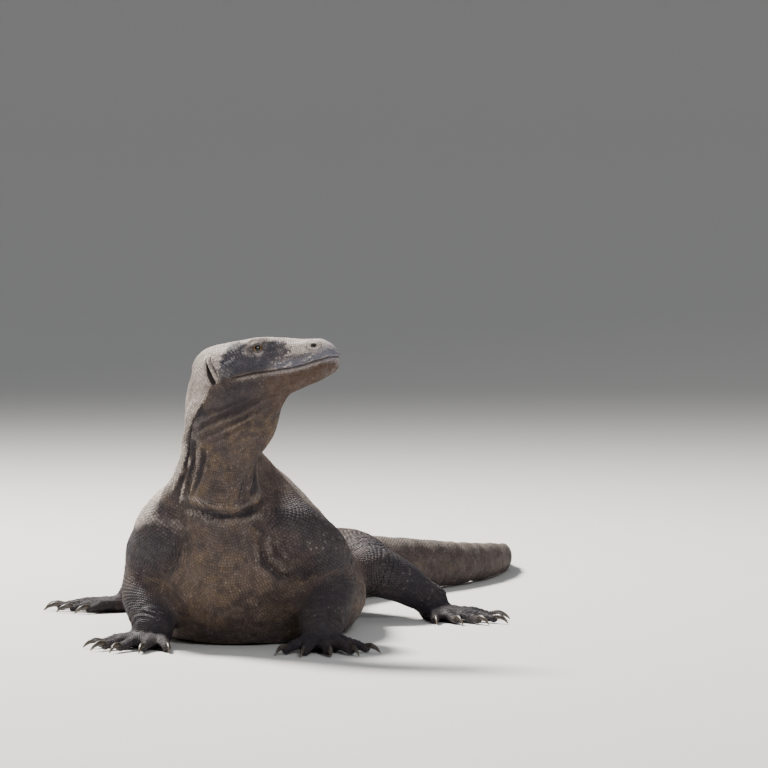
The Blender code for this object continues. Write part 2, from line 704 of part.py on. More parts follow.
def add_part(name, form, slot):
    obj = add_object(name, mesh_of(name, form))
    obj.data.materials.append(slot)
    obj.data.shade_smooth()


def centre_on_floor():
    """Moves everything so that the middle of the model's footprint is the origin."""
    parts = bpy.data.collections["komodo_dragon"].objects
    corners = np.array([vertex.co for obj in parts for vertex in obj.data.vertices])
    middle = (corners.min(axis=0) + corners.max(axis=0)) / 2
    shift = Matrix.Translation((-middle[0], -middle[1], 0.0))
    for obj in parts:
        obj.data.transform(shift)


def build():
    clear_scene()
    slots = {
        "hide": material("hide", HIDE, 0.75),
        "hide_dark": material("hide_dark", HIDE_DARK, 0.7),
        "hide_pale": material("hide_pale", HIDE_PALE, 0.7),
        "claw_horn": material("claw_horn", CLAW_HORN, 0.4),
        "eye_brown": material("eye_brown", EYE_BROWN, 0.1),
    }
    forms, claw_lines = flesh_and_claws()
    nodes = parted_flesh(cut_with(fused(forms), [ground_block()], "grounded"))

    hollows = {"head": head_hollows()}
    for claw, line in claw_lines.items():
        paw_name = claw.removeprefix("claw_").rsplit("_", 1)[0]
        seat = tube(line, CLAW_RADII, grow=SEAT_GAP, per_span=1, count=CLAW_SIDES)
        hollows.setdefault(paw_name, []).append(seat)
    for name, form in nodes.items():
        if name in hollows:
            form = tidied(cut_with(mesh_of(name, form), hollows[name], "hollowed"))
        add_part(name, form, slots[tone_of(name)])

    for name, line in claw_lines.items():
        add_part(name, tube(line, CLAW_RADII, per_span=1, count=CLAW_SIDES), slots["claw_horn"])
    for side in (1, -1):
        eyeball = ellipsoid(eye_centre(side), [EYE_RADIUS] * 3)
        add_part("eye_" + side_name(side), eyeball, slots["eye_brown"])
    centre_on_floor()


build()
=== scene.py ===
"""The looks of a life-size komodo dragon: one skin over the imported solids, and a coat of modelled scales."""

import math
from itertools import product

import bmesh
import bpy
import numpy as np
from mathutils import Matrix, Vector, kdtree, noise


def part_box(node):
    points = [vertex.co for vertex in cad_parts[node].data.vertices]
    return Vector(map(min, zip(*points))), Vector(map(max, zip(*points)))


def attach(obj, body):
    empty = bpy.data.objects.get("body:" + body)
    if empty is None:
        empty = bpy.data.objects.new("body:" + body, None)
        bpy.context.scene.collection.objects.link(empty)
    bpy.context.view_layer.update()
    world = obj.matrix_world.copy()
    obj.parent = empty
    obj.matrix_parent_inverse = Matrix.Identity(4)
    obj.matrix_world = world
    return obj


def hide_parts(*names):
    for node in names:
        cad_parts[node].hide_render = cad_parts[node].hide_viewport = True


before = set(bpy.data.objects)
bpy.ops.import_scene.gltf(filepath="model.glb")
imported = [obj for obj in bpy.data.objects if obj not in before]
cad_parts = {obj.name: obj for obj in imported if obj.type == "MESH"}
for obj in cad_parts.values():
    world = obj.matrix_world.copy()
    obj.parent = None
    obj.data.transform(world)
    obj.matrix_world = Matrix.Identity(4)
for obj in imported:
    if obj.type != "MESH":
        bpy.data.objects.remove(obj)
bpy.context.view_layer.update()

# ---------------------------------------------------------------- driving dimensions, in metres
HEAD_PITCH = math.radians(9.5)
HEAD_TURN = math.radians(-4.0)
HEAD_ROLL = math.radians(-3.0)
EYE_RADIUS = 0.0105
EYE_IN_HEAD = (0.071, 0.0355, 0.0345)  # forward, out, up from between the ears
HEAD_FROM_EYES = Vector((-0.008, -0.050, 0.4140))
EYE_CENTRE = np.array(EYE_IN_HEAD)
SIDES = ((1, "left"), (-1, "right"))

COAT_DEPTH = 0.0013  # the skin lies this far inside the solids
BELLY_FLAT = 0.004  # what lies lower rests on the floor and stays flat
FLOOR_GAP = 0.0008  # the skin's own height above the floor, under its scales
CUT_CLOSER = 0.0006  # the solids swell by this much, so that their parting cuts close
SKIN_VOXEL = 0.0031
SKIN_TRIANGLES = 150000  # before the face is refined
FACE_REFINING = ((0.0024, 1.0), (0.0013, 0.8), (0.0009, 0.45))  # longest edge, within this share of the reach
FOLD_REACH = 0.020  # a fold is worked out no farther than this beyond its line
ROW_ROUNDS = 400  # steps of the solver that lays the rows
LEVEL_NUDGE = 1e-7  # keeps a row's level off the vertices' own values
SCALE_WIDTH = 1.0  # a scale's width along its row, as a share of the row spacing
SCALE_TURN = 0.14  # the scales' deviations: of turn in radians, and of proportions and place as shares
SCALE_VARIETY = 0.075
SCALE_ASTRAY = 0.05
GAP_LIMIT = 0.82  # a bare spot this many scale sizes from any scale gets one of its own
FILL_CLEAR = 0.9  # the least distance between two such spots, in scale sizes
FILL_CELL = 0.006  # they are looked up in cells of this size, larger than any scale
COAT_SEED = 7
PIECE_SCALES = 8900
ISLAND_GIRTH = 2.6 * math.pi  # an island's width over its guide's radius
ISLAND_MARGIN = 0.02
UV_PATCH = 0.003  # each scale's patch on the unwrap
EYE_RINGS = 23
EYE_SIDES = 40
CORNEA_BULGE = 0.0005
LID_DRAW = 0.75  # how closely the lids follow the eyeball
CLAW_RADII = (0.0048, 0.0045, 0.0030, 0.0010)
CLAW_RINGS = 12
CLAW_SIDES = 12
EAR_FILLERS = (-0.006, 0.004, 0.014, 0.024)  # heights of the balls that fill the ear hollow
NECK_LINE = [(0.060, -0.052, 0.400), (0.0, -0.040, 0.350), (-0.010, -0.020, 0.280), (-0.010, 0.0, 0.200)]

CAMERA_AZIMUTH = math.radians(8.0)
CAMERA_DISTANCE = 5.5  # from the hips' upright line
CAMERA_HEIGHT = 0.55
CAMERA_TURN = math.radians(2.454)
CAMERA_DIP = math.radians(1.498)
LENS = 168.5
LIGHT_SIZE = 1.6
FLOOR_RINGS = [(6.0, 0.0), (14.0, 0.0), (20.0, 0.4), (25.0, 1.8), (29.0, 4.5), (31.0, 9.0), (31.5, 16.0)]
FLOOR_SIDES = 96


# ---------------------------------------------------------------- places
def head_turn():
    """The head's turn from the model's axes, with its own x forward and z up."""
    return (
        Matrix.Rotation(HEAD_TURN, 4, "Z")
        @ Matrix.Rotation(-HEAD_PITCH, 4, "Y")
        @ Matrix.Rotation(HEAD_ROLL, 4, "X")
    )


def box_centre(node):
    low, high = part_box(node)
    return (low + high) / 2


def find_head():
    """The head's own axes as a matrix, placed by the solids of the two eyes."""
    forward, _out, up = EYE_IN_HEAD
    turn = head_turn()
    between_eyes = (box_centre("eye_left") + box_centre("eye_right")) / 2
    origin = between_eyes - turn.to_3x3() @ Vector((forward, 0.0, up))
    return Matrix.Translation(origin) @ turn


HEAD = find_head()
HEAD_INVERSE = HEAD.inverted()
SHIFT = HEAD.translation - HEAD_FROM_EYES  # from the table's frame, with the hips at x = 0, to the model's
OFFSET = np.array(SHIFT)


def placed(point):
    """A point of the table's frame in the model's."""
    return np.array(point, float) + OFFSET


def in_head(points):
    """Points in the head's own axes: forward from the ears, left, up from the mouth line."""
    turn = np.array(HEAD_INVERSE)[:3, :3]
    return points @ turn.T + np.array(HEAD_INVERSE)[:3, 3]


def from_head(points):
    """Points of the head's own axes in the model's."""
    turn = np.array(HEAD)[:3, :3]
    return np.atleast_2d(points) @ turn.T + np.array(HEAD)[:3, 3]


# Limb joints, with x towards the animal's outside, and the way that each paw points.
ARMS = {
    1: {"joints": [(0.094, 0.004, 0.180), (0.142, 0.098, 0.112), (0.140, -0.008, 0.034)], "heading": 14},
    -1: {"joints": [(0.092, 0.012, 0.178), (0.143, 0.112, 0.112), (0.121, 0.018, 0.034)], "heading": 24},
}
LEGS = {
    1: {"joints": [(0.070, 0.622, 0.088), (0.172, 0.465, 0.087), (0.266, 0.532, 0.033)], "heading": 43},
    -1: {"joints": [(0.070, 0.634, 0.088), (0.176, 0.520, 0.090), (0.254, 0.628, 0.032)], "heading": 84},
}
# Toes: share of the pad's width, angle from the heading, length without the claw.
HAND_TOES = [(-1.0, -42, 0.046), (-0.52, -19, 0.060), (0.0, 0, 0.065), (0.52, 19, 0.060), (1.0, 46, 0.045)]
FOOT_TOES = [(-1.0, -32, 0.046), (-0.52, -15, 0.066), (0.0, -2, 0.082), (0.50, 11, 0.090), (0.9, 50, 0.060)]
HAND = {"pad": 0.034, "half": 0.036, "claw": 0.029}
FOOT = {"pad": 0.050, "half": 0.033, "claw": 0.030}
TOE_RADIUS = 0.0084
TOE_SCALE = 0.0033
PAW_RISE = 0.020
# A limb's radius and scale size, from its root by way of the bend and the end to the palm.
ARM_RADII = (0.052, 0.048, 0.040, 0.036, 0.030, 0.026)
LEG_RADII = (0.060, 0.056, 0.043, 0.034, 0.027, 0.024)
LIMB_SCALES = (0.0052, 0.0050, 0.0048, 0.0044, 0.0040, 0.0036)

# The middle line from snout to tail tip: x, y, z, half thickness, scale size there.
SPINE = [
    (0.196, -0.063, 0.446, 0.015, 0.0027),
    (0.150, -0.060, 0.440, 0.030, 0.0028),
    (0.100, -0.057, 0.432, 0.042, 0.0029),
    (0.050, -0.053, 0.424, 0.050, 0.0030),
    (0.018, -0.050, 0.405, 0.056, 0.0032),
    (0.003, -0.044, 0.370, 0.058, 0.0033),
    (-0.008, -0.034, 0.315, 0.057, 0.0034),
    (-0.014, -0.010, 0.256, 0.062, 0.0037),
    (-0.004, 0.050, 0.200, 0.100, 0.0042),
    (0.000, 0.125, 0.150, 0.130, 0.0046),
    (0.000, 0.220, 0.118, 0.155, 0.0048),
    (0.000, 0.320, 0.103, 0.160, 0.0049),
    (0.000, 0.420, 0.100, 0.140, 0.0050),
    (0.000, 0.520, 0.098, 0.115, 0.0050),
    (0.003, 0.640, 0.090, 0.092, 0.0050),
    (0.020, 0.755, 0.074, 0.072, 0.0050),
    (0.072, 0.880, 0.060, 0.060, 0.0050),
    (0.162, 1.040, 0.049, 0.048, 0.0050),
    (0.255, 1.220, 0.041, 0.040, 0.0049),
    (0.308, 1.420, 0.034, 0.032, 0.0046),
    (0.318, 1.620, 0.027, 0.025, 0.0043),
    (0.285, 1.800, 0.019, 0.018, 0.0039),
    (0.240, 1.960, 0.010, 0.010, 0.0035),
]


def mirrored(point, side):
    """A point of the left side (1) or its mirror image on the right (-1)."""
    return np.array([point[0] * side, point[1], point[2]])


def paw_axes(limb, side):
    """The ways that a paw points and that lead to the animal's outside."""
    heading = math.radians(limb["heading"])
    forward = np.array([math.sin(heading) * side, -math.cos(heading), 0.0])
    out = np.array([math.cos(heading) * side, math.sin(heading), 0.0])
    return forward, out


def toe_line(start, way, length):
    """A toe's centreline from the pad to its tip, low over the floor."""
    low = TOE_RADIUS * 0.80
    return np.array([
        start + [0, 0, PAW_RISE * 0.75],
        start + way * (length * 0.42) + [0, 0, low + 0.0080],
        start + way * (length * 0.76) + [0, 0, low + 0.0035],
        start + way * length + [0, 0, low + 0.0010],
    ])


def paws():
    """Each paw's ground point, axes, toes as (centreline, way), and claw length, by name."""
    found = {}
    for kind, limbs, shape, toes in (("hand", ARMS, HAND, HAND_TOES), ("foot", LEGS, FOOT, FOOT_TOES)):
        for side, name in SIDES:
            limb = limbs[side]
            forward, out = paw_axes(limb, side)
            ground = placed(mirrored(limb["joints"][2], side)) * [1.0, 1.0, 0.0]
            lines = []
            for spread, angle, length in toes:
                along = shape["pad"] * (0.88 - 0.20 * abs(spread))
                start = ground + forward * along + out * (shape["half"] * spread * 0.82)
                turn = math.radians(angle)
                way = forward * math.cos(turn) + out * math.sin(turn)
                lines.append((toe_line(start, way, length), way))
            found[f"{kind}_{name}"] = {
                "ground": ground, "forward": forward, "toes": lines, "claw": shape["claw"],
            }
    return found


PAWS = paws()


def guide(name, points, radii, sizes, up=(0.0, 0.0, 1.0)):
    """A line that scale rows run across, with its radius and the scale size at each point."""
    arrays = {"points": points, "radii": radii, "sizes": sizes, "up": up}
    return {"name": name, **{key: np.array(value) for key, value in arrays.items()}}


def guides():
    """The middle lines of the body, the limbs and the toes, in that order."""
    spine = np.array(SPINE)
    found = [guide("spine", spine[:, :3] + OFFSET, spine[:, 3], spine[:, 4], (0.0, 0.6, 0.8))]
    for kind, limbs, radii, paw_name in (("arm", ARMS, ARM_RADII, "hand"), ("leg", LEGS, LEG_RADII, "foot")):
        for side, name in SIDES:
            root, bend, end = (placed(mirrored(p, side)) for p in limbs[side]["joints"])
            paw = PAWS[f"{paw_name}_{name}"]
            palm = paw["ground"] + paw["forward"] * 0.034 + [0, 0, 0.014]
            line = [root, (root + bend) / 2, bend, (bend + end) / 2, end, palm]
            found.append(guide(f"{kind}_{name}", line, radii, LIMB_SCALES))
    for paw_name, paw in PAWS.items():
        for k, (line, _way) in enumerate(paw["toes"], 1):
            count = len(line)
            found.append(guide(f"{paw_name}_toe_{k}", line, [TOE_RADIUS] * count, [TOE_SCALE] * count))
    return found


# ---------------------------------------------------------------- mesh tools
def new_object(name, mesh):
    obj = bpy.data.objects.new(name, mesh)
    bpy.context.scene.collection.objects.link(obj)
    return obj


def read(items, key, width, kind=float):
    """One property of many mesh items as rows of an array."""
    out = np.empty(len(items) * width, kind)
    items.foreach_get(key, out)
    return out.reshape(-1, width)


def coordinates(mesh):
    return read(mesh.vertices, "co", 3)


def set_coordinates(mesh, points):
    mesh.vertices.foreach_set("co", points.ravel())
    mesh.update()


def normals(mesh):
    return read(mesh.vertex_normals, "vector", 3)


def edge_pairs(mesh):
    return read(mesh.edges, "vertices", 2, np.int64)


def triangles_of(mesh):
    mesh.calc_loop_triangles()
    return read(mesh.loop_triangles, "vertices", 3, np.int64)


def mesh_of(name, form):
    """A mesh from a bmesh, which is freed."""
    mesh = bpy.data.meshes.new(name)
    form.to_mesh(mesh)
    form.free()
    return mesh


def evaluated(obj):
    """The object's mesh with its modifiers applied, the object itself removed."""
    mesh = bpy.data.meshes.new_from_object(obj.evaluated_get(bpy.context.evaluated_depsgraph_get()))
    bpy.data.objects.remove(obj)
    return mesh


def smooth_step(x, low, high):
    """0 below low, 1 above high, smooth between them."""
    t = np.clip((x - low) / (high - low), 0.0, 1.0)
    return t * t * (3 - 2 * t)


def bell(x, width):
    """1 at 0, falling off smoothly to both sides, to 0.37 at the width."""
    return np.exp(-((x / width) ** 2))


def lengths(vectors):
    """The length of each row."""
    return np.linalg.norm(vectors, axis=1)


def eased(points, pairs, share, rounds):
    """Points moved towards their neighbours' mean, each by its share, over some rounds."""
    count = len(points)
    a, b = pairs[:, 0], pairs[:, 1]
    degree = np.bincount(a, minlength=count) + np.bincount(b, minlength=count)
    for _ in range(rounds):
        for k in range(3):
            column = points[:, k]
            near = np.bincount(a, column[b], count) + np.bincount(b, column[a], count)
            points[:, k] = column + share * (near / degree - column)
    return points


def segments(points, line):
    """For each segment of a line: its number and way, and each point's share along it and offset from it."""
    for i, way in enumerate(np.diff(line, axis=0)):
        share = np.clip((points - line[i]) @ way / (way @ way), 0, 1)
        yield i, way, share, points - line[i] - share[:, None] * way


def distance_to_line(points, line):
    """Distance from points to a polyline, with how far along it they are, from 0 to 1."""
    best = np.full(len(points), np.inf)
    along = np.zeros(len(points))
    for i, _way, share, off in segments(points, line):
        away = lengths(off)
        closer = away < best
        best[closer] = away[closer]
        along[closer] = (i + share[closer]) / (len(line) - 1)
    return best, along


def within(points, line, margin):
    """The points in a line's box, widened by a margin."""
    inside = (points > line.min(0) - margin) & (points < line.max(0) + margin)
    return np.flatnonzero(np.all(inside, axis=1))


def bell_along(points, line, width):
    """1 on a line, falling off sideways."""
    return bell(distance_to_line(points, line)[0], width)


# ---------------------------------------------------------------- the skin
def flesh_nodes():
    """The names of all solids that the skin replaces."""
    return [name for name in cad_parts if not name.startswith(("eye_", "claw_"))]


def add_ball(form, centre, radius):
    made = bmesh.ops.create_icosphere(form, subdivisions=2, radius=radius)
    bmesh.ops.translate(form, vec=Vector(centre), verts=made["verts"])


def rough_flesh():
    """The solids of flesh as one mesh, each a little swollen, with the hollows of eyes and claws filled."""
    form = bmesh.new()
    for name in flesh_nodes():
        form.from_mesh(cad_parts[name].data)
    bmesh.ops.remove_doubles(form, verts=form.verts, dist=0.00001)
    bmesh.ops.recalc_face_normals(form, faces=form.faces)
    form.normal_update()
    for vertex in form.verts:
        vertex.co += vertex.normal * CUT_CLOSER
    forward, out, up = EYE_IN_HEAD
    for side, _name in SIDES:
        add_ball(form, HEAD @ Vector((forward, (out - 0.002) * side, up)), EYE_RADIUS)
        for high in EAR_FILLERS:
            add_ball(form, HEAD @ Vector((-0.004, 0.0475 * side, high)), 0.0105)
        add_ball(form, HEAD @ Vector((0.155, 0.0300 * side, 0.0262)), 0.0060)
    for paw in PAWS.values():
        for line, _way in paw["toes"]:
            add_ball(form, line[-1], TOE_RADIUS * 0.90)
    return mesh_of("rough_flesh", form)


def detail_share(points):
    """1 in the head and paws, falling to 0 in the broad forms of the body."""
    local = in_head(points) - [0.080, 0.0, 0.010]
    nearest = lengths(local / [0.135, 0.090, 0.075])
    for paw in PAWS.values():
        middle = paw["ground"] + paw["forward"] * 0.055
        nearest = np.minimum(nearest, lengths(points - middle) / 0.100)
    return np.clip(3.0 - 2.5 * nearest, 0.0, 1.0)


def neck_share(points):
    """1 along the neck and throat, where the skin is folded."""
    return 1.0 - smooth_step(distance_to_line(points, placed(NECK_LINE))[0], 0.09, 0.14)


def base_skin():
    """The fused flesh, eased, set in by the coat's depth, folded, thinned, and refined at the face."""
    rough = new_object("rough", rough_flesh())
    remesh = rough.modifiers.new("fuse", "REMESH")
    remesh.mode = "VOXEL"
    remesh.voxel_size = SKIN_VOXEL
    remesh.adaptivity = 0.0
    mesh = evaluated(rough)
    points = coordinates(mesh)
    fine = detail_share(points)
    pairs = edge_pairs(mesh)
    low = points[:, 2] < BELLY_FLAT
    points = eased(points, pairs, 0.5, 3)
    points = eased(points, pairs, 0.6 * (1 - fine), 60)
    points[low, 2] = np.minimum(points[low, 2], BELLY_FLAT)
    set_coordinates(mesh, points)
    depth = COAT_DEPTH - 0.0006 * fine
    points = points - normals(mesh) * (CUT_CLOSER + depth)[:, None]
    set_coordinates(mesh, points)
    facing = normals(mesh)
    points = points + facing * folds(points, facing)[:, None]
    points[:, 2] = np.maximum(points[:, 2], FLOOR_GAP)
    set_coordinates(mesh, points)
    return refined(thinned(mesh, np.maximum(fine, neck_share(points))))


def thinned(mesh, kept):
    """The mesh with fewer triangles, mostly where little of its detail is to be kept."""
    obj = new_object("thick", mesh)
    broad = obj.vertex_groups.new(name="broad")
    steps = np.round((1 - kept) * 10).astype(int)
    for step in range(11):
        broad.add(np.flatnonzero(steps == step).tolist(), step / 10, "REPLACE")
    thin = obj.modifiers.new("thin", "DECIMATE")
    thin.ratio = SKIN_TRIANGLES / (2 * len(mesh.polygons))
    thin.vertex_group = broad.name
    thin.vertex_group_factor = 0.02
    thin.use_collapse_triangulate = True
    return evaluated(obj)


def refined(mesh):
    """The mesh with finer triangles round the eyes, nostrils, ears and mouth, and those modelled."""
    form = bmesh.new()
    form.from_mesh(mesh)
    for limit, reach in FACE_REFINING:
        near = face_detail(np.array([v.co for v in form.verts]), reach)
        form.verts.ensure_lookup_table()
        chosen = [
            edge for edge in form.edges
            if near[edge.verts[0].index] and near[edge.verts[1].index] and edge.calc_length() > limit
        ]
        bmesh.ops.subdivide_edges(form, edges=chosen, cuts=1, use_grid_fill=True)
        bmesh.ops.triangulate(form, faces=[f for f in form.faces if len(f.verts) > 3])
        form.verts.index_update()
    made = mesh_of("skin", form)
    points = coordinates(made)
    near = face_detail(points, 1.2).astype(float)
    points = eased(points, edge_pairs(made), 0.5 * near, 3)
    set_coordinates(made, points)
    set_coordinates(made, face_relief(points, normals(made)))
    return made


# ---------------------------------------------------------------- folds of the body
def crease(away, width, depth):
    """A fold's section: a groove at 0, and a low swelling on each side of it."""
    return -depth * bell(away, width) + 0.45 * depth * bell(away - 1.9 * width, 0.9 * width)


# Folds that don't repeat: path in the table's frame, width and depth.
NECK_FOLDS = [
    # the crease across the base of the throat
    ([(-0.070, -0.036, 0.224), (-0.037, -0.066, 0.216), (-0.002, -0.073, 0.2125), (0.031, -0.057, 0.214),
      (0.050, -0.032, 0.222), (0.058, 0.000, 0.236)], 0.0055, 0.0070),
    # slanting folds from the side of the neck up to the throat
    ([(-0.046, -0.079, 0.358), (-0.024, -0.091, 0.368), (0.002, -0.101, 0.377), (0.029, -0.1005, 0.3865),
      (0.062, -0.099, 0.398)], 0.0045, 0.0014),
    ([(-0.050, -0.076, 0.337), (-0.031, -0.085, 0.345), (-0.002, -0.097, 0.359), (0.024, -0.099, 0.3715),
      (0.051, -0.0935, 0.384), (0.080, -0.084, 0.394)], 0.0036, 0.0046),
    ([(-0.040, -0.081, 0.326), (-0.020, -0.090, 0.334), (0.010, -0.0965, 0.3475), (0.033, -0.096, 0.358),
      (0.054, -0.0905, 0.3715), (0.076, -0.078, 0.386)], 0.0036, 0.0044),
    ([(-0.022, -0.087, 0.321), (0.006, -0.093, 0.333), (0.032, -0.092, 0.346), (0.054, -0.083, 0.361)],
     0.0033, 0.0030),
    ([(-0.006, -0.088, 0.309), (0.020, -0.091, 0.322), (0.044, -0.083, 0.340)], 0.0033, 0.0018),
    # the groove that runs down behind the ear and along the side of the neck
    ([(-0.026, -0.094, 0.382), (-0.044, -0.081, 0.363), (-0.052, -0.074, 0.3416), (-0.0545, -0.071, 0.325),
      (-0.055, -0.067, 0.302), (-0.060, -0.060, 0.282), (-0.070, -0.046, 0.252), (-0.084, -0.030, 0.226)],
     0.0052, 0.0085),
    # hanging folds beside it
    ([(-0.043, -0.078, 0.328), (-0.0445, -0.073, 0.305), (-0.046, -0.069, 0.284), (-0.054, -0.062, 0.262),
      (-0.062, -0.052, 0.236)], 0.0045, 0.0080),
    ([(-0.031, -0.081, 0.318), (-0.030, -0.077, 0.300), (-0.034, -0.071, 0.280), (-0.041, -0.067, 0.258),
      (-0.050, -0.058, 0.236)], 0.0040, 0.0050),
    # the deep fold in front of the left shoulder
    ([(0.046, -0.036, 0.300), (0.044, -0.026, 0.272), (0.0405, -0.032, 0.250), (0.038, -0.042, 0.232)],
     0.0060, 0.0060),
    ([(0.030, -0.058, 0.262), (0.028, -0.060, 0.244), (0.022, -0.064, 0.228)], 0.0038, 0.0026),
    # loose skin from the chest to each armpit
    ([(0.054, -0.052, 0.178), (0.0575, -0.051, 0.158), (0.060, -0.048, 0.139), (0.078, -0.0275, 0.117),
      (0.097, 0.001, 0.107)], 0.0058, 0.0058),
    ([(0.0687, -0.045, 0.174), (0.074, -0.040, 0.158), (0.0813, -0.036, 0.1445), (0.093, -0.017, 0.125)],
     0.0042, 0.0034),
    ([(0.082, -0.040, 0.176), (0.088, -0.036, 0.160), (0.097, -0.026, 0.146)], 0.0038, 0.0020),
    ([(0.036, -0.060, 0.200), (0.048, -0.054, 0.190), (0.064, -0.046, 0.184)], 0.0045, 0.0030),
    ([(-0.072, -0.045, 0.178), (-0.078, -0.042, 0.155), (-0.088, -0.026, 0.132), (-0.100, 0.006, 0.110)],
     0.0058, 0.0055),
    ([(-0.060, -0.052, 0.170), (-0.064, -0.050, 0.148), (-0.074, -0.036, 0.124)], 0.0045, 0.0032),
]
MIRRORED_FOLDS = (1, 2, 3, 4, 5)  # those that also run on the head's left side
RUMPLED = [  # amount, place in the table's frame and reach
    (1.0, (0.000, -0.070, 0.250), 0.042),
    (1.2, (0.074, -0.045, 0.165), 0.040),
    (0.9, (-0.075, -0.045, 0.165), 0.038),
    (0.5, (0.030, -0.080, 0.300), 0.050),
]


def folds(points, facing):
    """How far the skin stands out (or in) at each point of the body, in metres."""
    out = np.zeros(len(points))
    uneven = noise_at(points, 0.030, 11.0)
    for number, (path, width, depth) in enumerate(NECK_FOLDS):
        lines = [placed(path)]
        if number in MIRRORED_FOLDS:
            lines.append(from_head(in_head(lines[0]) * [1, -1, 1]))
        for line in lines:
            # the line is laid on the skin, from one nearest point to the next
            line = np.array([points[np.argmin(((points - spot) ** 2).sum(axis=1))] for spot in line])
            near = within(points, line, FOLD_REACH)
            away, along = distance_to_line(points[near], line)
            if len(near) == 0 or away.min() > width:
                continue
            outward = (facing[near] * bell(away, 0.006)[:, None]).sum(axis=0)
            outward /= np.linalg.norm(outward) + 1e-9
            turned = smooth_step(facing[near] @ outward, -0.1, 0.45)
            ends = np.sin(np.pi * np.clip(along, 0, 1)) ** 0.6
            wander = width * (1 + 0.35 * uneven[near])
            out[near] += crease(away, wander, depth * (1 + 0.5 * uneven[near])) * ends * turned
    return out + limb_wrinkles(points) + rumples(points) + undulations(points)


def limb_wrinkles(points):
    """Rings of small wrinkles at elbows, knees, wrists and ankles, and over each toe."""
    out = np.zeros(len(points))
    for line in guides()[1:]:
        pts, radii = line["points"], line["radii"]
        near = within(points, pts, radii.max() * 1.4)
        away, along = distance_to_line(points[near], pts)
        arc = along * lengths(np.diff(pts, axis=0)).sum()
        radius = np.interp(along * (len(pts) - 1), np.arange(len(pts)), radii)
        close = 1 - smooth_step(away / radius, 1.1, 1.5)
        if "toe" in line["name"]:
            wave = np.sin(arc * 2 * math.pi / 0.0085)
            out[near] += (0.0011 + 0.0004 * wave) * close
        else:
            joints = bell(along - 0.40, 0.09) + bell(along - 0.82, 0.07)
            wave = np.sin(arc * 2 * math.pi / 0.0125 + 1.5 * np.sin(points[near, 2] * 90))
            out[near] += 0.0011 * wave * close * joints
    return out


def rumples(points):
    """Small winding wrinkles where the hide hangs loose: the base of the neck and before the shoulders."""
    share = sum(amount * bell(lengths(points - OFFSET - place), reach) for amount, place, reach in RUMPLED)
    winding = noise_at(points * [1.0, 1.0, 0.75], 0.0135, 14.0)
    return share * (0.0004 - 0.0017 * bell(winding, 0.26))


def undulations(points):
    """Loose hide: low swells over the trunk, and small unevenness everywhere."""
    trunk = smooth_step(points[:, 1], -1.02, -0.80) * (1 - detail_share(points))
    stretched = points * [1.0, 1.0, 0.45]
    return 0.0022 * noise_at(stretched, 0.045, 4.0) * trunk + 0.0004 * noise_at(points, 0.012, 2.0)


# ---------------------------------------------------------------- the face
MOUTH = [  # forward and height of the mouth line, from its corner to the snout tip
    (0.024, -0.0060), (0.032, -0.0040), (0.044, -0.0026), (0.060, -0.0020),
    (0.080, -0.0016), (0.099, -0.0020), (0.118, -0.0020), (0.136, -0.0008),
    (0.148, 0.0012), (0.162, 0.0036), (0.176, 0.0050), (0.200, 0.0044),
]
MOUTH_MIDDLE = np.array([0.10, 0.0, 0.0])
MOUTH_REACH = 0.115
NOSTRIL = np.array([0.1560, 0.0300, 0.0262])
NOSTRIL_RIM = 1.45  # in rings, of which the first is the pit's own edge
EAR_TOP, EAR_BOTTOM = (-0.0040, 0.0330), (0.0052, -0.0090)  # forward and height of the slit's ends
GAZE = (0.30, 1.0, 0.06)  # forward, out, up
LID_WIDE = 46.0  # half the eye opening, in degrees seen from the eye's centre
LID_UPPER, LID_LOWER = 20.0, 24.0
LID_FURROW, LID_ARC = 13.5, 25.0  # the furrow and the pale arc round the opening, in degrees outside it
EAR_FLAP, EAR_GROOVE = 0.0026, 0.0066  # the fold before the ear slit, and the groove beyond it
FACE_RIDGES = [  # path in the head's axes, height and width
    # over the eye, from there to the nostril, then the hollows of the cheek and the temple
    ([(0.048, 0.0405, 0.0440), (0.066, 0.0400, 0.0475), (0.088, 0.0350, 0.0455)], 0.0014, 0.0055),
    ([(0.094, 0.0335, 0.0400), (0.125, 0.0290, 0.0330), (0.146, 0.0260, 0.0305)], 0.0012, 0.0050),
    ([(0.098, 0.0400, 0.020), (0.120, 0.0360, 0.016), (0.140, 0.0330, 0.016)], -0.0016, 0.0065),
    ([(0.052, 0.045, 0.034), (0.030, 0.052, 0.026), (0.012, 0.055, 0.020)], -0.0016, 0.0060),
]


def mouth_height(forward):
    """The mouth line's height at a place along the head."""
    return np.interp(forward, *np.array(MOUTH).T)


def lip_gap(local):
    """How high above the slightly wavy mouth line points lie."""
    forward, _out, high = local.T
    return high - mouth_height(forward) + 0.0005 * np.sin(forward * 2 * math.pi / 0.037)


def nostril_rings(local):
    """How far out from the nostril's middle points lie, 1 at the pit's edge, and which are near it."""
    off = local - NOSTRIL
    rings = np.hypot((off[:, 0] + 0.25 * off[:, 2]) / 0.0052, off[:, 2] / 0.0036)
    return rings, lengths(off) < 0.014


def both_sides(points):
    """Points in the head's axes with the left side folded onto the right: forward, out, up."""
    local = in_head(points)
    local[:, 1] = np.abs(local[:, 1])
    return local


def eye_angles(local):
    """Angles along and above the eye's line of sight, the distance from its centre, and how far ahead."""
    off = local - EYE_CENTRE
    gaze = np.array(GAZE) / np.linalg.norm(GAZE)
    ahead = np.cross(gaze, [0.0, 0.0, 1.0])
    ahead /= np.linalg.norm(ahead)
    over = np.cross(ahead, gaze)
    look = off @ gaze
    along = np.degrees(np.arctan2(off @ ahead, look))
    above = np.degrees(np.arctan2(off @ over, np.hypot(look, off @ ahead)))
    return along, above, lengths(off), look


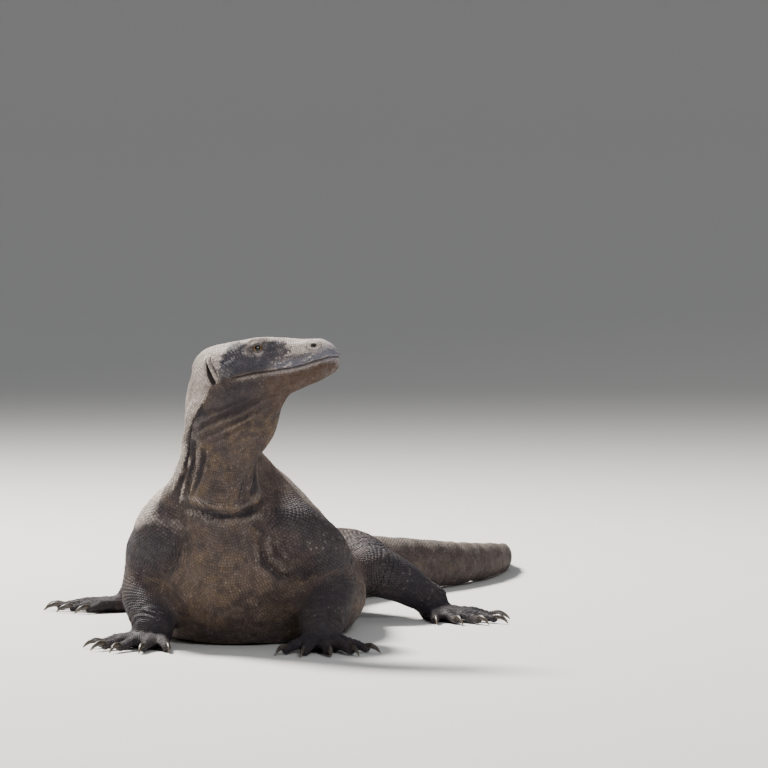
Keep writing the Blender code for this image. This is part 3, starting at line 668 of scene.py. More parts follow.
def lid_gap(along, above):
    """How far outside the eye opening a direction lies, in degrees; below 0 inside it."""
    bow = np.clip(1 - (along / LID_WIDE) ** 2, 0, 1)
    upper = LID_UPPER * bow**0.75 + 0.02 * along
    lower = -LID_LOWER * bow**0.85 + 0.02 * along
    beyond = np.maximum(np.abs(along) - LID_WIDE, 0)
    return np.where(beyond > 0, np.hypot(beyond, above), np.maximum(above - upper, lower - above))


def face_detail(points, reach):
    """Which points lie near the eyes, nostrils, ears or mouth line, within a share of the usual reach."""
    local = both_sides(points)
    eye = lengths(local - EYE_CENTRE) < 0.024 * reach
    eye &= local[:, 1] > 0.030
    nose = lengths(local - NOSTRIL) < 0.013 * reach
    ear_line = np.array([[EAR_TOP[0], 0.055, EAR_TOP[1]], [EAR_BOTTOM[0], 0.058, EAR_BOTTOM[1]]])
    ear = distance_to_line(local, ear_line)[0] < 0.019 * reach
    mouth = (np.abs(local[:, 2] - mouth_height(local[:, 0])) < 0.0065 * reach) & (local[:, 0] > 0.026)
    mouth &= lengths(local - MOUTH_MIDDLE) < 0.11
    return eye | nose | ear | mouth


def open_skin(points):
    """Which points lie within the eyes, nostrils, ear slits or the mouth line, where no scales grow."""
    local = both_sides(points)
    along, above, far, look = eye_angles(local)
    eye = (far < 0.016) & (look > 0) & (lid_gap(along, above) < 7.0)
    rings, near_nose = nostril_rings(local)
    ahead, half, bow = ear_shape(local)
    ear = (np.abs(ahead) < half) & (bow > 0.3)
    mouth = (np.abs(lip_gap(local)) < 0.0005) & (local[:, 0] > 0.032)
    mouth &= lengths(local - MOUTH_MIDDLE) < MOUTH_REACH
    return eye | ((rings < 0.85) & near_nose) | ear | mouth


def ear_shape(local):
    """The ear slit: how far in front of its middle line points lie, its half width there, and its bow."""
    along, ahead = ear_place(local)
    bow = np.sqrt(np.clip(1 - along**2, 0, 1)) * (local[:, 1] > 0.03) * (np.abs(local[:, 0]) < 0.03)
    half = 0.0005 + bow * np.maximum(0.0026 - 0.0038 * along, 0)
    return ahead + 0.0048 * bow * (1 - 0.2 * along), half, bow


def face_fineness(points):
    """The share to which scales shrink round the eyes, nostrils, mouth and ears."""
    local = both_sides(points)
    eye = np.maximum(lengths(local - EYE_CENTRE) - 0.011, 0)
    near = np.maximum(0.50 * bell(eye, 0.009), 0.40 * bell(lengths(local - NOSTRIL), 0.010))
    gap = np.abs(local[:, 2] - mouth_height(local[:, 0]))
    lip = 0.28 * bell(gap, 0.005) * smooth_step(local[:, 0], 0.02, 0.04)
    lip *= lengths(local - MOUTH_MIDDLE) < 0.125
    ahead, half, bow = ear_shape(local)
    ear = 0.30 * bow * bell(np.maximum(np.abs(ahead) - half, 0), 0.006)
    return 1 - np.maximum(near, np.maximum(lip, ear))


def ear_place(local):
    """Where points lie along the ear slit, from -1 to 1, and how far in front of it."""
    top, bottom = np.array(EAR_TOP), np.array(EAR_BOTTOM)
    middle, way = (top + bottom) / 2, (top - bottom) / np.linalg.norm(top - bottom)
    half = np.linalg.norm(top - bottom) / 2
    off = local[:, [0, 2]] - middle
    return off @ way / half, off[:, 0] * way[1] - off[:, 1] * way[0]


def face_relief(points, point_normals):
    """The points moved into lids over the eyes, nostrils, ear slits, lips and ridges."""
    local = both_sides(points)
    forward, out, high = local.T

    # lips: a groove along the mouth line, with a full lip above and below, and a second fold higher up
    near = smooth_step(forward, 0.026, 0.040) * (lengths(local - MOUTH_MIDDLE) < MOUTH_REACH)
    gap = lip_gap(local)
    rise = near * (-0.0021 * bell(gap, 0.0011) + 0.0009 * bell(gap - 0.0036, 0.0026)
                   + 0.0003 * bell(gap + 0.0042, 0.0026))
    rise -= near * 0.0008 * bell(gap - 0.0115, 0.0018) * (1 - smooth_step(forward, 0.10, 0.14))

    # wrinkles behind the corner of the mouth
    corner = np.exp(-(((forward - 0.016) / 0.014) ** 2) - ((high + 0.010) / 0.016) ** 2) * (out > 0.03)
    rise += corner * 0.0010 * np.sin((forward + 0.35 * high) * 2 * math.pi / 0.0085)

    # nostril: an oval pit in a raised rim
    rings, near_nose = nostril_rings(local)
    pit = -0.0048 * (1 - smooth_step(rings, 0.45, 1.0))
    rise += near_nose * (pit + 0.0009 * bell(rings - NOSTRIL_RIM, 0.40))

    # ear: a long slit with a fold of skin in front of it and a shallower groove beyond
    ahead, half, bow = ear_shape(local)
    rise += bow * (
        -0.0062 * bell(ahead, half + 0.0006)
        + 0.0034 * bell(ahead - half - EAR_FLAP, 0.0020)
        - 0.0030 * bell(ahead - half - EAR_GROOVE, 0.0016)
        + 0.0016 * bell(ahead + half + 0.0030, 0.0026)
    )
    for line, height, width in FACE_RIDGES:
        rise += height * bell_along(local, np.array(line), width)
    return lidded(points + point_normals * rise[:, None])


def lidded(points):
    """The skin drawn over the eyeballs as far as the eye openings, inside which it sinks behind the eye."""
    local = both_sides(points)
    along, above, far, look = eye_angles(local)
    gap = lid_gap(along, above)
    front = smooth_step(look / np.maximum(far, 1e-6), 0.05, 0.35) * (1 - smooth_step(far, 0.018, 0.026))
    lid = EYE_RADIUS + 0.0009 + 0.0008 * bell(gap - 4.5, 4.0)
    lid += 0.0012 * smooth_step(gap, 14.0, 40.0)
    lid += 0.0008 * bell(gap - LID_ARC, 5.0)
    lid -= 0.0008 * bell(gap - LID_FURROW, 4.0) + 0.0008 * bell(gap - 36.0, 4.5)
    draw = LID_DRAW * (1 - smooth_step(gap, 10.0, 34.0))
    covered = np.maximum(far, lid) * (1 - draw) + lid * draw
    edge = smooth_step(gap, -1.5, 3.0)
    wanted = (EYE_RADIUS - 0.0026) * (1 - edge) + covered * edge
    wanted = far + (wanted - far) * front
    local = EYE_CENTRE + (local - EYE_CENTRE) * (wanted / np.maximum(far, 1e-6))[:, None]
    local[:, 1] *= np.where(in_head(points)[:, 1] < 0, -1, 1)
    moved = points.copy()
    close = front > 0
    moved[close] = from_head(local[close])
    return moved


# ---------------------------------------------------------------- rows of scales
def limb_of(toe):
    """The name of the limb that a toe belongs to."""
    kind, side = toe.split("_")[:2]
    return {"hand": "arm", "foot": "leg"}[kind] + "_" + side


def number_rows(lines):
    """Row numbers at each guide's points: a limb's go on from the spine's, and a toe's from its limb's."""
    spine = lines[0]
    for line in lines:
        sizes = line["sizes"]
        steps = lengths(np.diff(line["points"], axis=0))
        line["rows"] = np.concatenate([[0.0], np.cumsum(steps * 2 / (sizes[1:] + sizes[:-1]))])
        line["first"] = 0.0
        if "toe" in line["name"]:
            limb = next(other for other in lines if other["name"] == limb_of(line["name"]))
            line["first"] = limb["first"] + limb["rows"][-1]
        elif line is not spine:
            _, along = distance_to_line(line["points"][:1], spine["points"])
            count = len(spine["rows"])
            line["first"] = np.interp(along[0] * (count - 1), np.arange(count), spine["rows"])


def guide_field(points, lines):
    """For each point: the nearest guide, the way that guides run there, the scale size and a row number."""
    count = len(points)
    nearest = np.full(count, np.inf)
    owner = np.zeros(count, np.int32)
    total = np.zeros((count, 5))
    weight_sum = np.zeros(count)
    for g, line in enumerate(lines):
        radii, sizes, rows = line["radii"], line["sizes"], line["rows"]
        ways = np.diff(line["points"], axis=0)
        steps = lengths(ways)
        best = np.full(count, np.inf)
        found = np.zeros((count, 5))
        for i, (start, way, step) in enumerate(zip(line["points"], ways, steps)):
            share = np.clip((points - start) @ way / step**2, 0, 1)
            away = lengths(points - start - share[:, None] * way)
            ratio = away / (radii[i] * (1 - share) + radii[i + 1] * share)
            closer = ratio < best
            part = share[closer]
            best[closer] = ratio[closer]
            found[closer, :3] = way / step
            found[closer, 3] = sizes[i] * (1 - part) + sizes[i + 1] * part
            found[closer, 4] = line["first"] + rows[i] * (1 - part) + rows[i + 1] * part
        closer = best < nearest
        nearest[closer] = best[closer]
        owner[closer] = g
        weight = 1.0 / np.maximum(best - 0.6, 0.05) ** 6
        total += found * weight[:, None]
        weight_sum += weight
    ways = total[:, :3] / np.linalg.norm(total[:, :3], axis=1, keepdims=True)
    return owner, ways, total[:, 3] / weight_sum, total[:, 4] / weight_sum


def solve_rows(points, faces, ways, sizes, start):
    """A row number at each vertex, whose gradient follows the ways at one row per scale size."""
    count = len(points)
    corners = [points[faces[:, k]] for k in range(3)]
    normal = np.cross(corners[1] - corners[0], corners[2] - corners[0])
    double_area = np.maximum(lengths(normal), 1e-12)
    normal /= double_area[:, None]
    want = ways[faces].mean(axis=1)
    want -= normal * np.einsum("ij,ij->i", want, normal)[:, None]
    want *= (1.0 / np.maximum(lengths(want), 0.25) / sizes[faces].mean(axis=1))[:, None]
    right = np.zeros(count)
    edges = []
    for k in range(3):
        i, j = faces[:, k], faces[:, (k + 1) % 3]
        here, there, opposite = corners[k], corners[(k + 1) % 3], corners[(k + 2) % 3]
        cotangent = np.einsum("ij,ij->i", here - opposite, there - opposite) / double_area
        cotangent = np.clip(cotangent, 0.02, 5.0) / 2
        flow = cotangent * np.einsum("ij,ij->i", there - here, want)
        right += np.bincount(j, flow, count) - np.bincount(i, flow, count)
        edges.append((i, j, cotangent))
    ends_a, ends_b, weights = (np.concatenate(column) for column in zip(*edges))
    diagonal = np.bincount(ends_a, weights, count) + np.bincount(ends_b, weights, count)

    def spread(x):
        flow = weights * (x[ends_a] - x[ends_b])
        return np.bincount(ends_a, flow, count) - np.bincount(ends_b, flow, count)

    # conjugate gradients, each step scaled by the diagonal
    x = start.copy()
    left = right - spread(x)
    scaled = left / diagonal
    way = scaled.copy()
    dot = left @ scaled
    for _ in range(ROW_ROUNDS):
        moved = spread(way)
        step = dot / (way @ moved)
        x += step * way
        left -= step * moved
        scaled = left / diagonal
        new_dot = left @ scaled
        way = scaled + (new_dot / dot) * way
        dot = new_dot
    return x


def row_links(values, faces):
    """The triangle edges that each row crosses, as (level, vertex, vertex), with the ones next to each."""
    corner = values[faces]
    low = np.ceil(corner.min(axis=1)).astype(np.int64)
    high = np.floor(corner.max(axis=1)).astype(np.int64)
    links = {}
    for extra in range(int((high - low).max()) + 1):
        chosen = np.flatnonzero(low + extra <= high)
        level = low[chosen] + extra
        ids = faces[chosen]
        below = values[ids] < (level + LEVEL_NUDGE)[:, None]
        crosses = below != np.roll(below, -1, axis=1)
        lower = np.minimum(ids, np.roll(ids, -1, axis=1))
        upper = np.maximum(ids, np.roll(ids, -1, axis=1))
        first = crosses.argmax(axis=1)
        last = 2 - crosses[:, ::-1].argmax(axis=1)
        at = np.arange(len(chosen))
        table = np.column_stack([level, lower[at, first], upper[at, first], lower[at, last], upper[at, last]])
        for row, a, b, c, d in table[crosses.sum(axis=1) == 2].tolist():
            one, two = (row, a, b), (row, c, d)
            links.setdefault(one, []).append(two)
            links.setdefault(two, []).append(one)
    return links


def row_lines(links):
    """The rows as chains of linked edges, in order of level: (level, closed, chain)."""
    chains = []
    used = set()
    for ends_first in (True, False):
        for key, near in links.items():
            if key in used or (ends_first and len(near) != 1):
                continue
            chain = []
            following = [key]
            while following:
                used.add(following[0])
                chain.append(following[0])
                following = [k for k in links[chain[-1]] if k not in used]
            closed = len(chain) > 2 and chain[0] in links[chain[-1]]
            chains.append((key[0], closed, chain))
    return sorted(chains, key=lambda c: (c[0], c[2][0]))


def sampled(at, along, table):
    """The columns of a table at places along its rows."""
    return np.column_stack([np.interp(at, along, column) for column in table.T])


def clearance(spots, others):
    """How far some of the spots lie from the nearest of the others, in the mean."""
    probe = spots[:: max(1, len(spots) // 24)]
    return np.sqrt(((probe[:, None, :] - others[None, :, :]) ** 2).sum(axis=2).min(axis=1)).mean()


def place_scales(points, point_normals, faces, values, sizes, slopes):
    """Scales along the rows: centre, normal, way of the rows' lie, size, and stretch along the row."""
    table = np.column_stack([points, point_normals, slopes, sizes])
    laid = []
    previous = {}
    for level, closed, chain in row_lines(row_links(values, faces)):
        _, a, b = np.array(chain).T
        share = np.clip((level + LEVEL_NUDGE - values[a]) / (values[b] - values[a]), 0, 1)[:, None]
        line = table[a] * (1 - share) + table[b] * share
        if closed:
            line = np.vstack([line, line[:1]])
        if len(line) < 3:
            continue
        steps = lengths(np.diff(line[:, :3], axis=0))
        size = line[:, 9]
        along = np.concatenate([[0.0], np.cumsum(steps / ((size[1:] + size[:-1]) / 2 * SCALE_WIDTH))])
        total = along[-1]
        number = int(round(total))
        if number < 1:
            continue
        # of four phases, the one whose scales best avoid the row before
        near = previous.get(level - 1)
        tries = [(np.arange(number) + phase) / number * total for phase in (0.0, 0.25, 0.5, 0.75)]
        at = tries[0]
        if near is not None:
            at = max(tries, key=lambda places: clearance(sampled(places, along, line[:, :3]), near))
        row = sampled(at, along, line)
        previous[level] = np.vstack([previous.get(level, np.empty((0, 3))), row[:, :3]])
        laid.append(np.column_stack([row, np.full(number, total / number)]))
    return np.vstack(laid)


def fill_gaps(points, point_normals, slopes, sizes, laid):
    """Further scales where the rows part by more than a scale, as in the forks of limbs and toes."""
    tree = kdtree.KDTree(len(laid))
    for i, spot in enumerate(laid[:, :3]):
        tree.insert(spot, i)
    tree.balance()
    bare = np.array([tree.find(p)[2] for p in points]) / sizes
    order = np.argsort(-bare)
    cells = {}
    added = []
    for i in order[bare[order] > GAP_LIMIT].tolist():
        cell = tuple(np.floor(points[i] / FILL_CELL).astype(int))
        around = product(*[(c - 1, c, c + 1) for c in cell])
        near = [j for key in around for j in cells.get(key, ())]
        if all(np.linalg.norm(points[i] - points[j]) >= sizes[i] * FILL_CLEAR for j in near):
            cells.setdefault(cell, []).append(i)
            added.append(i)
    rows = np.array(added, np.int64)
    ups = point_normals[rows]
    for k in np.flatnonzero(~ups.any(axis=1)):
        # a vertex between two faces back to back has no normal, so it takes the nearest scale's
        ups[k] = laid[tree.find(points[rows[k]])[1], 3:6]
    extra = [points[rows], ups, slopes[rows], sizes[rows], np.ones(len(rows))]
    return np.vstack([laid, np.column_stack(extra)])


# ---------------------------------------------------------------- unwrap
def islands(lines):
    """The unwrap's rectangles, as (guide, first and last place along it, corner), and the unwrap's side."""
    wanted = []
    for g, line in enumerate(lines):
        count = len(line["points"]) - 1
        cuts = [0, 7, 13, 17, count] if line["name"] == "spine" else [0, count]
        for first, last in zip(cuts, cuts[1:]):
            length = lengths(np.diff(line["points"][first : last + 1], axis=0)).sum()
            reach = line["radii"][first : last + 1].max() * ISLAND_GIRTH
            wanted.append((reach, length + 2 * ISLAND_MARGIN, g, first, last))
    wanted.sort(reverse=True)
    side = math.sqrt(sum(wide * tall for wide, tall, *_ in wanted)) * 1.22
    made = []
    u = v = shelf = 0.0
    for wide, tall, g, first, last in wanted:
        if u + tall > side:
            u, v, shelf = 0.0, v + shelf, 0.0
        made.append((g, first, last, u + ISLAND_MARGIN, v + wide / 2))
        u += tall
        shelf = max(shelf, wide)
    return made, max(side, v + shelf)


def unwrapped(points, owners, lines, centre=None):
    """UV of each point: distance along its guide, and round it. With centre, a face stays in one piece."""
    made, side = islands(lines)
    uv = np.zeros((len(points), 2))
    for g in np.unique(owners):
        chosen = np.flatnonzero(owners == g)
        line = lines[g]
        place, angle, radius = round_guide(points[chosen], line)
        own = place
        if centre is not None:
            own, middle, _ = round_guide(centre[chosen], line)
            angle = middle + (angle - middle + math.pi) % (2 * math.pi) - math.pi
        arc = np.concatenate([[0.0], np.cumsum(lengths(np.diff(line["points"], axis=0)))])
        reached = np.interp(place, np.arange(len(arc)), arc)
        for first, last, u, v in [island[1:] for island in made if island[0] == g]:
            inside = (own >= first) & ((own < last) | (last == len(arc) - 1))
            width = angle[inside] * radius[inside] * ISLAND_GIRTH / (2 * math.pi) * 0.94
            uv[chosen[inside], 0] = (u + reached[inside] - arc[first]) / side
            uv[chosen[inside], 1] = (v + width) / side
    return uv


def round_guide(points, line):
    """Where along a guide each point is (in segments), its angle round it, and the guide's radius there."""
    best = np.full(len(points), np.inf)
    place = np.zeros(len(points))
    angle = np.zeros(len(points))
    for i, way, share, off in segments(points, line["points"]):
        away = lengths(off)
        closer = away < best
        forward = way / np.linalg.norm(way)
        across = np.cross(forward, line["up"])
        across /= np.linalg.norm(across)
        over = np.cross(across, forward)
        best[closer] = away[closer]
        place[closer] = i + share[closer]
        angle[closer] = np.arctan2(off @ across, off @ over)[closer]
    return place, angle, np.interp(place, np.arange(len(line["radii"])), line["radii"])


# ---------------------------------------------------------------- the coat
def scale_template():
    """One scale in units of half length, half width and height: a low dome on six sides, closed below."""
    turns = [math.radians(a) for a in (0, 53, 127, 180, 233, 307)]
    rim = [(1.18 * math.cos(a), 1.0 * math.sin(a) / math.sin(math.radians(53)), 0.0) for a in turns]
    shoulder = [(x * 0.62 + 0.10, y * 0.66, 0.80) for x, y, _ in rim]
    points = np.array([(0.15, 0.0, 1.0), *shoulder, *rim])
    faces = []
    for k in range(6):
        n = (k + 1) % 6
        faces += [(0, 1 + k, 1 + n), (1 + k, 7 + k, 7 + n), (1 + k, 7 + n, 1 + n)]
    faces += [(7, 9, 8), (7, 10, 9), (7, 11, 10), (7, 12, 11)]
    return points, np.array(faces)


def mesh_from_arrays(name, points, faces):
    """A smooth mesh of triangles."""
    mesh = bpy.data.meshes.new(name)
    mesh.vertices.add(len(points))
    mesh.vertices.foreach_set("co", points.astype(np.float32).ravel())
    mesh.loops.add(faces.size)
    mesh.loops.foreach_set("vertex_index", faces.astype(np.int32).ravel())
    mesh.polygons.add(len(faces))
    mesh.polygons.foreach_set("loop_start", np.arange(0, faces.size, 3, dtype=np.int32))
    mesh.update(calc_edges=True)
    mesh.shade_smooth()
    return mesh


def add_attribute(mesh, name, values):
    """A number at each vertex, for a material to read."""
    attribute = mesh.attributes.new(name, "FLOAT", "POINT")
    attribute.data.foreach_set("value", values.astype(np.float32))


def add_map(mesh, uv):
    """The unwrap, with one place for each corner."""
    layer = mesh.uv_layers.new(name="OFBake")
    layer.data.foreach_set("uv", uv.astype(np.float32).ravel())


def add_marks(mesh, traits, chance, rim, repeats=1):
    """The attributes that the hide's material reads. Traits are given once for every so many vertices."""
    for trait in MARKS:
        add_attribute(mesh, trait, np.repeat(traits[trait], repeats))
    add_attribute(mesh, "chance", np.repeat(chance, repeats))
    add_attribute(mesh, "rim", rim)


def coat_piece(name, laid, owners, lines, traits):
    """A mesh of many scales. laid has centre, normal, slope, size and stretch; traits come from markings."""
    random = np.random.default_rng(COAT_SEED + len(laid))
    template, template_faces = scale_template()
    count, corners = len(laid), len(template)
    place, up, slope, size, stretch = laid[:, :3], laid[:, 3:6], laid[:, 6:9], laid[:, 9], laid[:, 10]
    up = up / np.linalg.norm(up, axis=1, keepdims=True)
    steep = lengths(slope)
    lie = slope / steep[:, None]
    lie -= up * np.einsum("ij,ij->i", lie, up)[:, None]
    lie /= np.linalg.norm(lie, axis=1, keepdims=True)
    turn = random.normal(0.0, SCALE_TURN, count)[:, None]
    across = np.cross(up, lie)
    lie, across = lie * np.cos(turn) + across * np.sin(turn), across * np.cos(turn) - lie * np.sin(turn)
    spacing = np.clip(1.0 / steep, 0.55 * size, 1.45 * size)
    vary = random.normal(1.0, SCALE_VARIETY, (count, 3))
    astray = random.normal(0.0, SCALE_ASTRAY, (count, 2)) * size[:, None]
    place = place + lie * astray[:, :1] + across * astray[:, 1:]
    half_long = 0.5 * spacing * 1.04 * vary[:, 0]
    half_wide = 0.5 * size * SCALE_WIDTH * stretch * 0.98 * vary[:, 1]
    tall = size * traits["relief"] * vary[:, 2] ** 2
    x, y, z = template.T
    ridge = 1.0 - traits["keel"][:, None] * 0.55 * np.abs(y)[None, :] / 0.66 * (z > 0.5)
    lift = z[None, :] * tall[:, None] * ridge * (1.0 + 0.25 * x[None, :])
    sunk = np.where(z < 0.5, -0.10 * size[:, None], 0.0)
    points = (
        place[:, None, :]
        + lie[:, None, :] * (half_long[:, None] * x)[:, :, None]
        + across[:, None, :] * (half_wide[:, None] * y)[:, :, None]
        + up[:, None, :] * (lift + sunk)[:, :, None]
    ).reshape(-1, 3)
    points[:, 2] = np.maximum(points[:, 2], 0.0)
    faces = (template_faces[None, :, :] + (np.arange(count) * corners)[:, None, None]).reshape(-1, 3)
    mesh = mesh_from_arrays(name, points, faces)
    root = unwrapped(place, owners, lines)
    spread = template[:, :2] * (UV_PATCH / 2)
    add_map(mesh, (root[:, None, :] + spread[None, :, :]).reshape(-1, 2)[faces.ravel()])
    # the rim marks where painted shade darkens a scale: fully at its foot, partly at its shoulder
    rim = np.where(z < 0.5, 1.0, np.where(z < 0.9, 0.28, 0.0))
    add_marks(mesh, traits, random.random(count), np.tile(rim, count), corners)
    return new_object(name, mesh)


# ---------------------------------------------------------------- markings
STRAY = 0.0012  # how far off its own place a scale's markings may be taken, as a deviation
MARKS = ("pale", "dark", "ochre", "rust", "blue", "pit")

# In the head's axes: how far forward the mask reaches, by height, and how high, by place along the head.
MASK_FRONT = ([0.000, 0.012, 0.021, 0.037, 0.060], [0.083, 0.091, 0.121, 0.114, 0.108])
MASK_ROOF = (
    [0.015, 0.030, 0.052, 0.060, 0.092, 0.100, 0.125],
    [0.040, 0.050, 0.047, 0.042, 0.042, 0.043, 0.038],
)

# By height in the table's frame: the neck's middle line, x and y, then bearings round it in degrees.
NECK_MIDDLE = (
    [0.200, 0.256, 0.315, 0.370, 0.412],
    [-0.012, -0.016, -0.010, 0.003, 0.014],
    [0.030, -0.004, -0.028, -0.044, -0.050],
)
# where the pale nape, partly painted sunlight, and the band of painted shadow beside it lie round the neck, by
# height
NAPE_BACK = ([0.25, 0.28, 0.32, 0.36, 0.41], [5, 17, 40, 60, 75])
NAPE_EDGE = (
    [0.22, 0.25, 0.273, 0.303, 0.314, 0.325, 0.345, 0.361, 0.376, 0.390, 0.415],
    [118, 120, 127, 127, 126, 123, 123, 125.5, 136, 150, 158],
)
NAPE_SHADOW_BAND = ([0.285, 0.315, 0.345], [3, 22, 27])  # how wide the band of painted shadow beside the nape is
NAPE_LIMIT = ([0.26, 0.31, 0.34], [0.0, 0.005, 0.06])  # how far to the left the nape reaches


def noise_at(points, size, seed=0.0):
    """Smooth noise from -1 to 1 with features of the given size."""
    offset = Vector((seed, seed * 1.7, seed * 0.3))
    return np.array([noise.noise(Vector(p) / size + offset) for p in points])


def head_markings(points):
    """Markings of the head: pale crown, snout and patch before the ear, partly painted sunlight, dark mask,
    blue lips, rusty jaw, and painted highlight and shade at lids, nostrils, ears and openings.
    """
    local = both_sides(points)
    forward, _out, high = local.T
    here = smooth_step(forward, -0.030, 0.010) * (1 - smooth_step(-high, 0.045, 0.075))
    here *= 1 - smooth_step(lengths(in_head(points) - [0.07, 0, 0.0]), 0.15, 0.18)
    wander = 0.0034 * noise_at(points, 0.009, 5.0)
    mottle = noise_at(points, 0.013, 17.0)
    pale, dark, mask = mask_and_crown(local, wander, mottle)
    pale, blue, rust = lip_colours(points, local, wander, mottle, here, pale)

    # a lighter eye socket
    off, rise = forward - EYE_CENTRE[0], high - EYE_CENTRE[2]
    socket = np.hypot((off + 0.003) / 0.019, (rise + 0.5 * wander) / 0.0105)
    socket = (1 - smooth_step(socket, 0.75, 1.15)) * (np.abs(off) < 0.03)
    pale = np.maximum(pale, 0.36 * socket)
    dark = dark * (1 - 0.62 * socket)

    # lids: a pale rim and a pale arc, painted highlight on their raised ridges, and a dark furrow, painted
    # shade between them
    along, above, far, look = eye_angles(local)
    gap = lid_gap(along, above)
    near = (look > 0) * (1 - smooth_step(far, 0.016, 0.022))
    upright = smooth_step(np.abs(above) / np.maximum(np.hypot(along, above), 1e-6), 0.35, 0.75)
    arc = 0.58 * near * upright * bell(gap - LID_ARC, 6.0)
    arc += 0.40 * near * bell(gap - 5.5, 2.5)
    dark = np.maximum(dark * (1 - arc), near * (0.9 * bell(gap - LID_FURROW, 5.0) + (gap < 1.5)))
    pale = np.maximum(pale * (1 - 0.9 * near * (1 - smooth_step(gap, 34.0, 42.0))), arc)

    # nostril: a pale rim, painted highlight on its raised edge, and a dark ring round it, painted shade at the
    # rim's foot
    rings, nose = nostril_rings(local)
    rim = nose * bell(rings - NOSTRIL_RIM, 0.35)
    furrow = nose * bell(rings - 2.15, 0.30)
    blue = blue * (1 - 0.8 * rim)
    pale = np.maximum(pale, 0.85 * rim) * (1 - 0.55 * furrow)
    dark = np.maximum(dark, 0.6 * furrow)

    # ear: a pale fold and a dark groove before the slit, painted highlight on the raised fold and painted
    # shade in the groove
    ahead, half, bow = ear_shape(local)
    groove = 0.85 * bow * bell(ahead - half - EAR_GROOVE, 0.0013)
    pale = np.maximum(pale, 0.8 * bow * bell(ahead - half - EAR_FLAP, 0.0024)) * (1 - groove)
    dark = np.maximum(dark, groove)

    # painted shade: the black within eyes, nostrils, ears and mouth
    slit = (1 - smooth_step(np.abs(high - mouth_height(forward)), 0.0006, 0.0013)) * (forward > 0.030) * here
    pits = [
        nose * (1 - smooth_step(rings, 0.75, 1.05)),
        near * (gap < 1.5),
        smooth_step(bow, 0.1, 0.4) * (1 - smooth_step(np.abs(ahead) - half, -0.0006, 0.0006)),
        0.6 * slit,
    ]
    blue = np.maximum(blue, 0.14 * here * mask)
    pit = np.clip(np.max(pits, axis=0), 0, 1)
    return here, {"pale": pale, "dark": dark, "rust": rust, "blue": blue, "pit": pit}


def mask_and_crown(local, wander, mottle):
    """The head's pale patches, partly painted sunlight, its dark patches, and the share of the dark mask round
    the eye.
    """
    forward, _out, high = local.T
    above_lip = high - mouth_height(forward)
    rear = 0.012 + 0.6 * np.maximum(high - 0.016, 0)
    past_rear = smooth_step(forward + wander - rear, -0.003, 0.003)
    past_front = smooth_step(forward + 1.5 * wander - np.interp(high, *MASK_FRONT), -0.003, 0.003)
    over = smooth_step(high + wander - np.interp(forward, *MASK_ROOF), -0.003, 0.003)
    mask = past_rear * (1 - past_front) * (1 - over) * smooth_step(above_lip, 0.000, 0.006)
    # the pale snout top, patch before the ear and crown: partly the head's paler hide and partly painted
    # sunlight on its upper parts
    patches = [
        (0.86 + 0.14 * mottle) * past_front * smooth_step(high + wander, 0.012, 0.021),
        (0.74 + 0.20 * mottle) * (1 - past_rear) * smooth_step(high + wander, -0.012, -0.002),
        (0.68 + 0.26 * mottle) * over * past_rear,
        0.16 * smooth_step(mottle, 0.05, 0.55) * mask,
    ]
    jowl = (1 - smooth_step(above_lip, -0.014, -0.004)) * (1 - smooth_step(forward, 0.050, 0.090))
    dark = np.maximum(0.95 * mask * (1 - 0.35 * smooth_step(forward, 0.085, 0.105)), 0.68 * jowl)
    return np.clip(np.max(patches, axis=0), 0, 1), dark, mask


def lip_colours(points, local, wander, mottle, here, pale):
    """The streaked blue band of the upper lip, and the jaw's pale edge and tip and its rust."""
    forward, _out, high = local.T
    above_lip = high - mouth_height(forward)
    band = bell(above_lip - 0.007, 0.0085) * smooth_step(forward, 0.070, 0.110)
    slanting = above_lip * 2 * math.pi / 0.0080 - (forward - 0.10) * 2 * math.pi / 0.050
    streaks = smooth_step(np.sin(slanting + 3.0 * noise_at(points, 0.014, 2.5)), 0.1, 0.7)
    streaks *= smooth_step(noise_at(points * [1.0, 1.0, 2.2], 0.011, 7.5), -0.25, 0.15)
    blue = np.clip(0.75 * band + 0.35 * smooth_step(forward, 0.150, 0.185), 0, 0.8)
    below = bell(above_lip + 0.0045, 0.0022) * smooth_step(forward, 0.028, 0.045)
    tip = smooth_step(forward + wander, 0.158, 0.186) * smooth_step(-above_lip, -0.002, 0.004)
    pale = np.max([pale, 0.75 * streaks * band, (0.34 + 0.22 * mottle) * below, 0.34 * tip], axis=0)
    rust = here * smooth_step(forward, 0.060, 0.105) * smooth_step(-above_lip, 0.003, 0.011)
    return pale, here * blue * (1 - 0.6 * streaks), rust


def limb_share(points, lines, ragged):
    """How far the limbs' dark hide has taken over from the body's."""
    reach = {"spine": np.full(len(points), np.inf), "limb": np.full(len(points), np.inf)}
    for line in lines:
        away, along = distance_to_line(points, line["points"])
        stops = np.linspace(0, 1, len(line["radii"]))
        kind = "spine" if line["name"] == "spine" else "limb"
        reach[kind] = np.minimum(reach[kind], away / np.interp(along, stops, line["radii"]))
    return smooth_step(reach["spine"] - reach["limb"] + ragged, -0.35, 0.65)


# the middle and reach of the painted sunlight on the shoulder's top
SHOULDER = (-0.105, 0.03, 0.23)
SHOULDER_REACH = 0.085
BREAST = (0.068, -0.048, 0.160)  # the wrinkled skin between the throat and the left arm
BREAST_REACH = 0.040
# the hanging folds of the neck, whose crests get the strongest painted highlight
HANGING = np.array([[-0.060, -0.068, 0.325], [-0.074, -0.058, 0.275], [-0.086, -0.042, 0.222]])


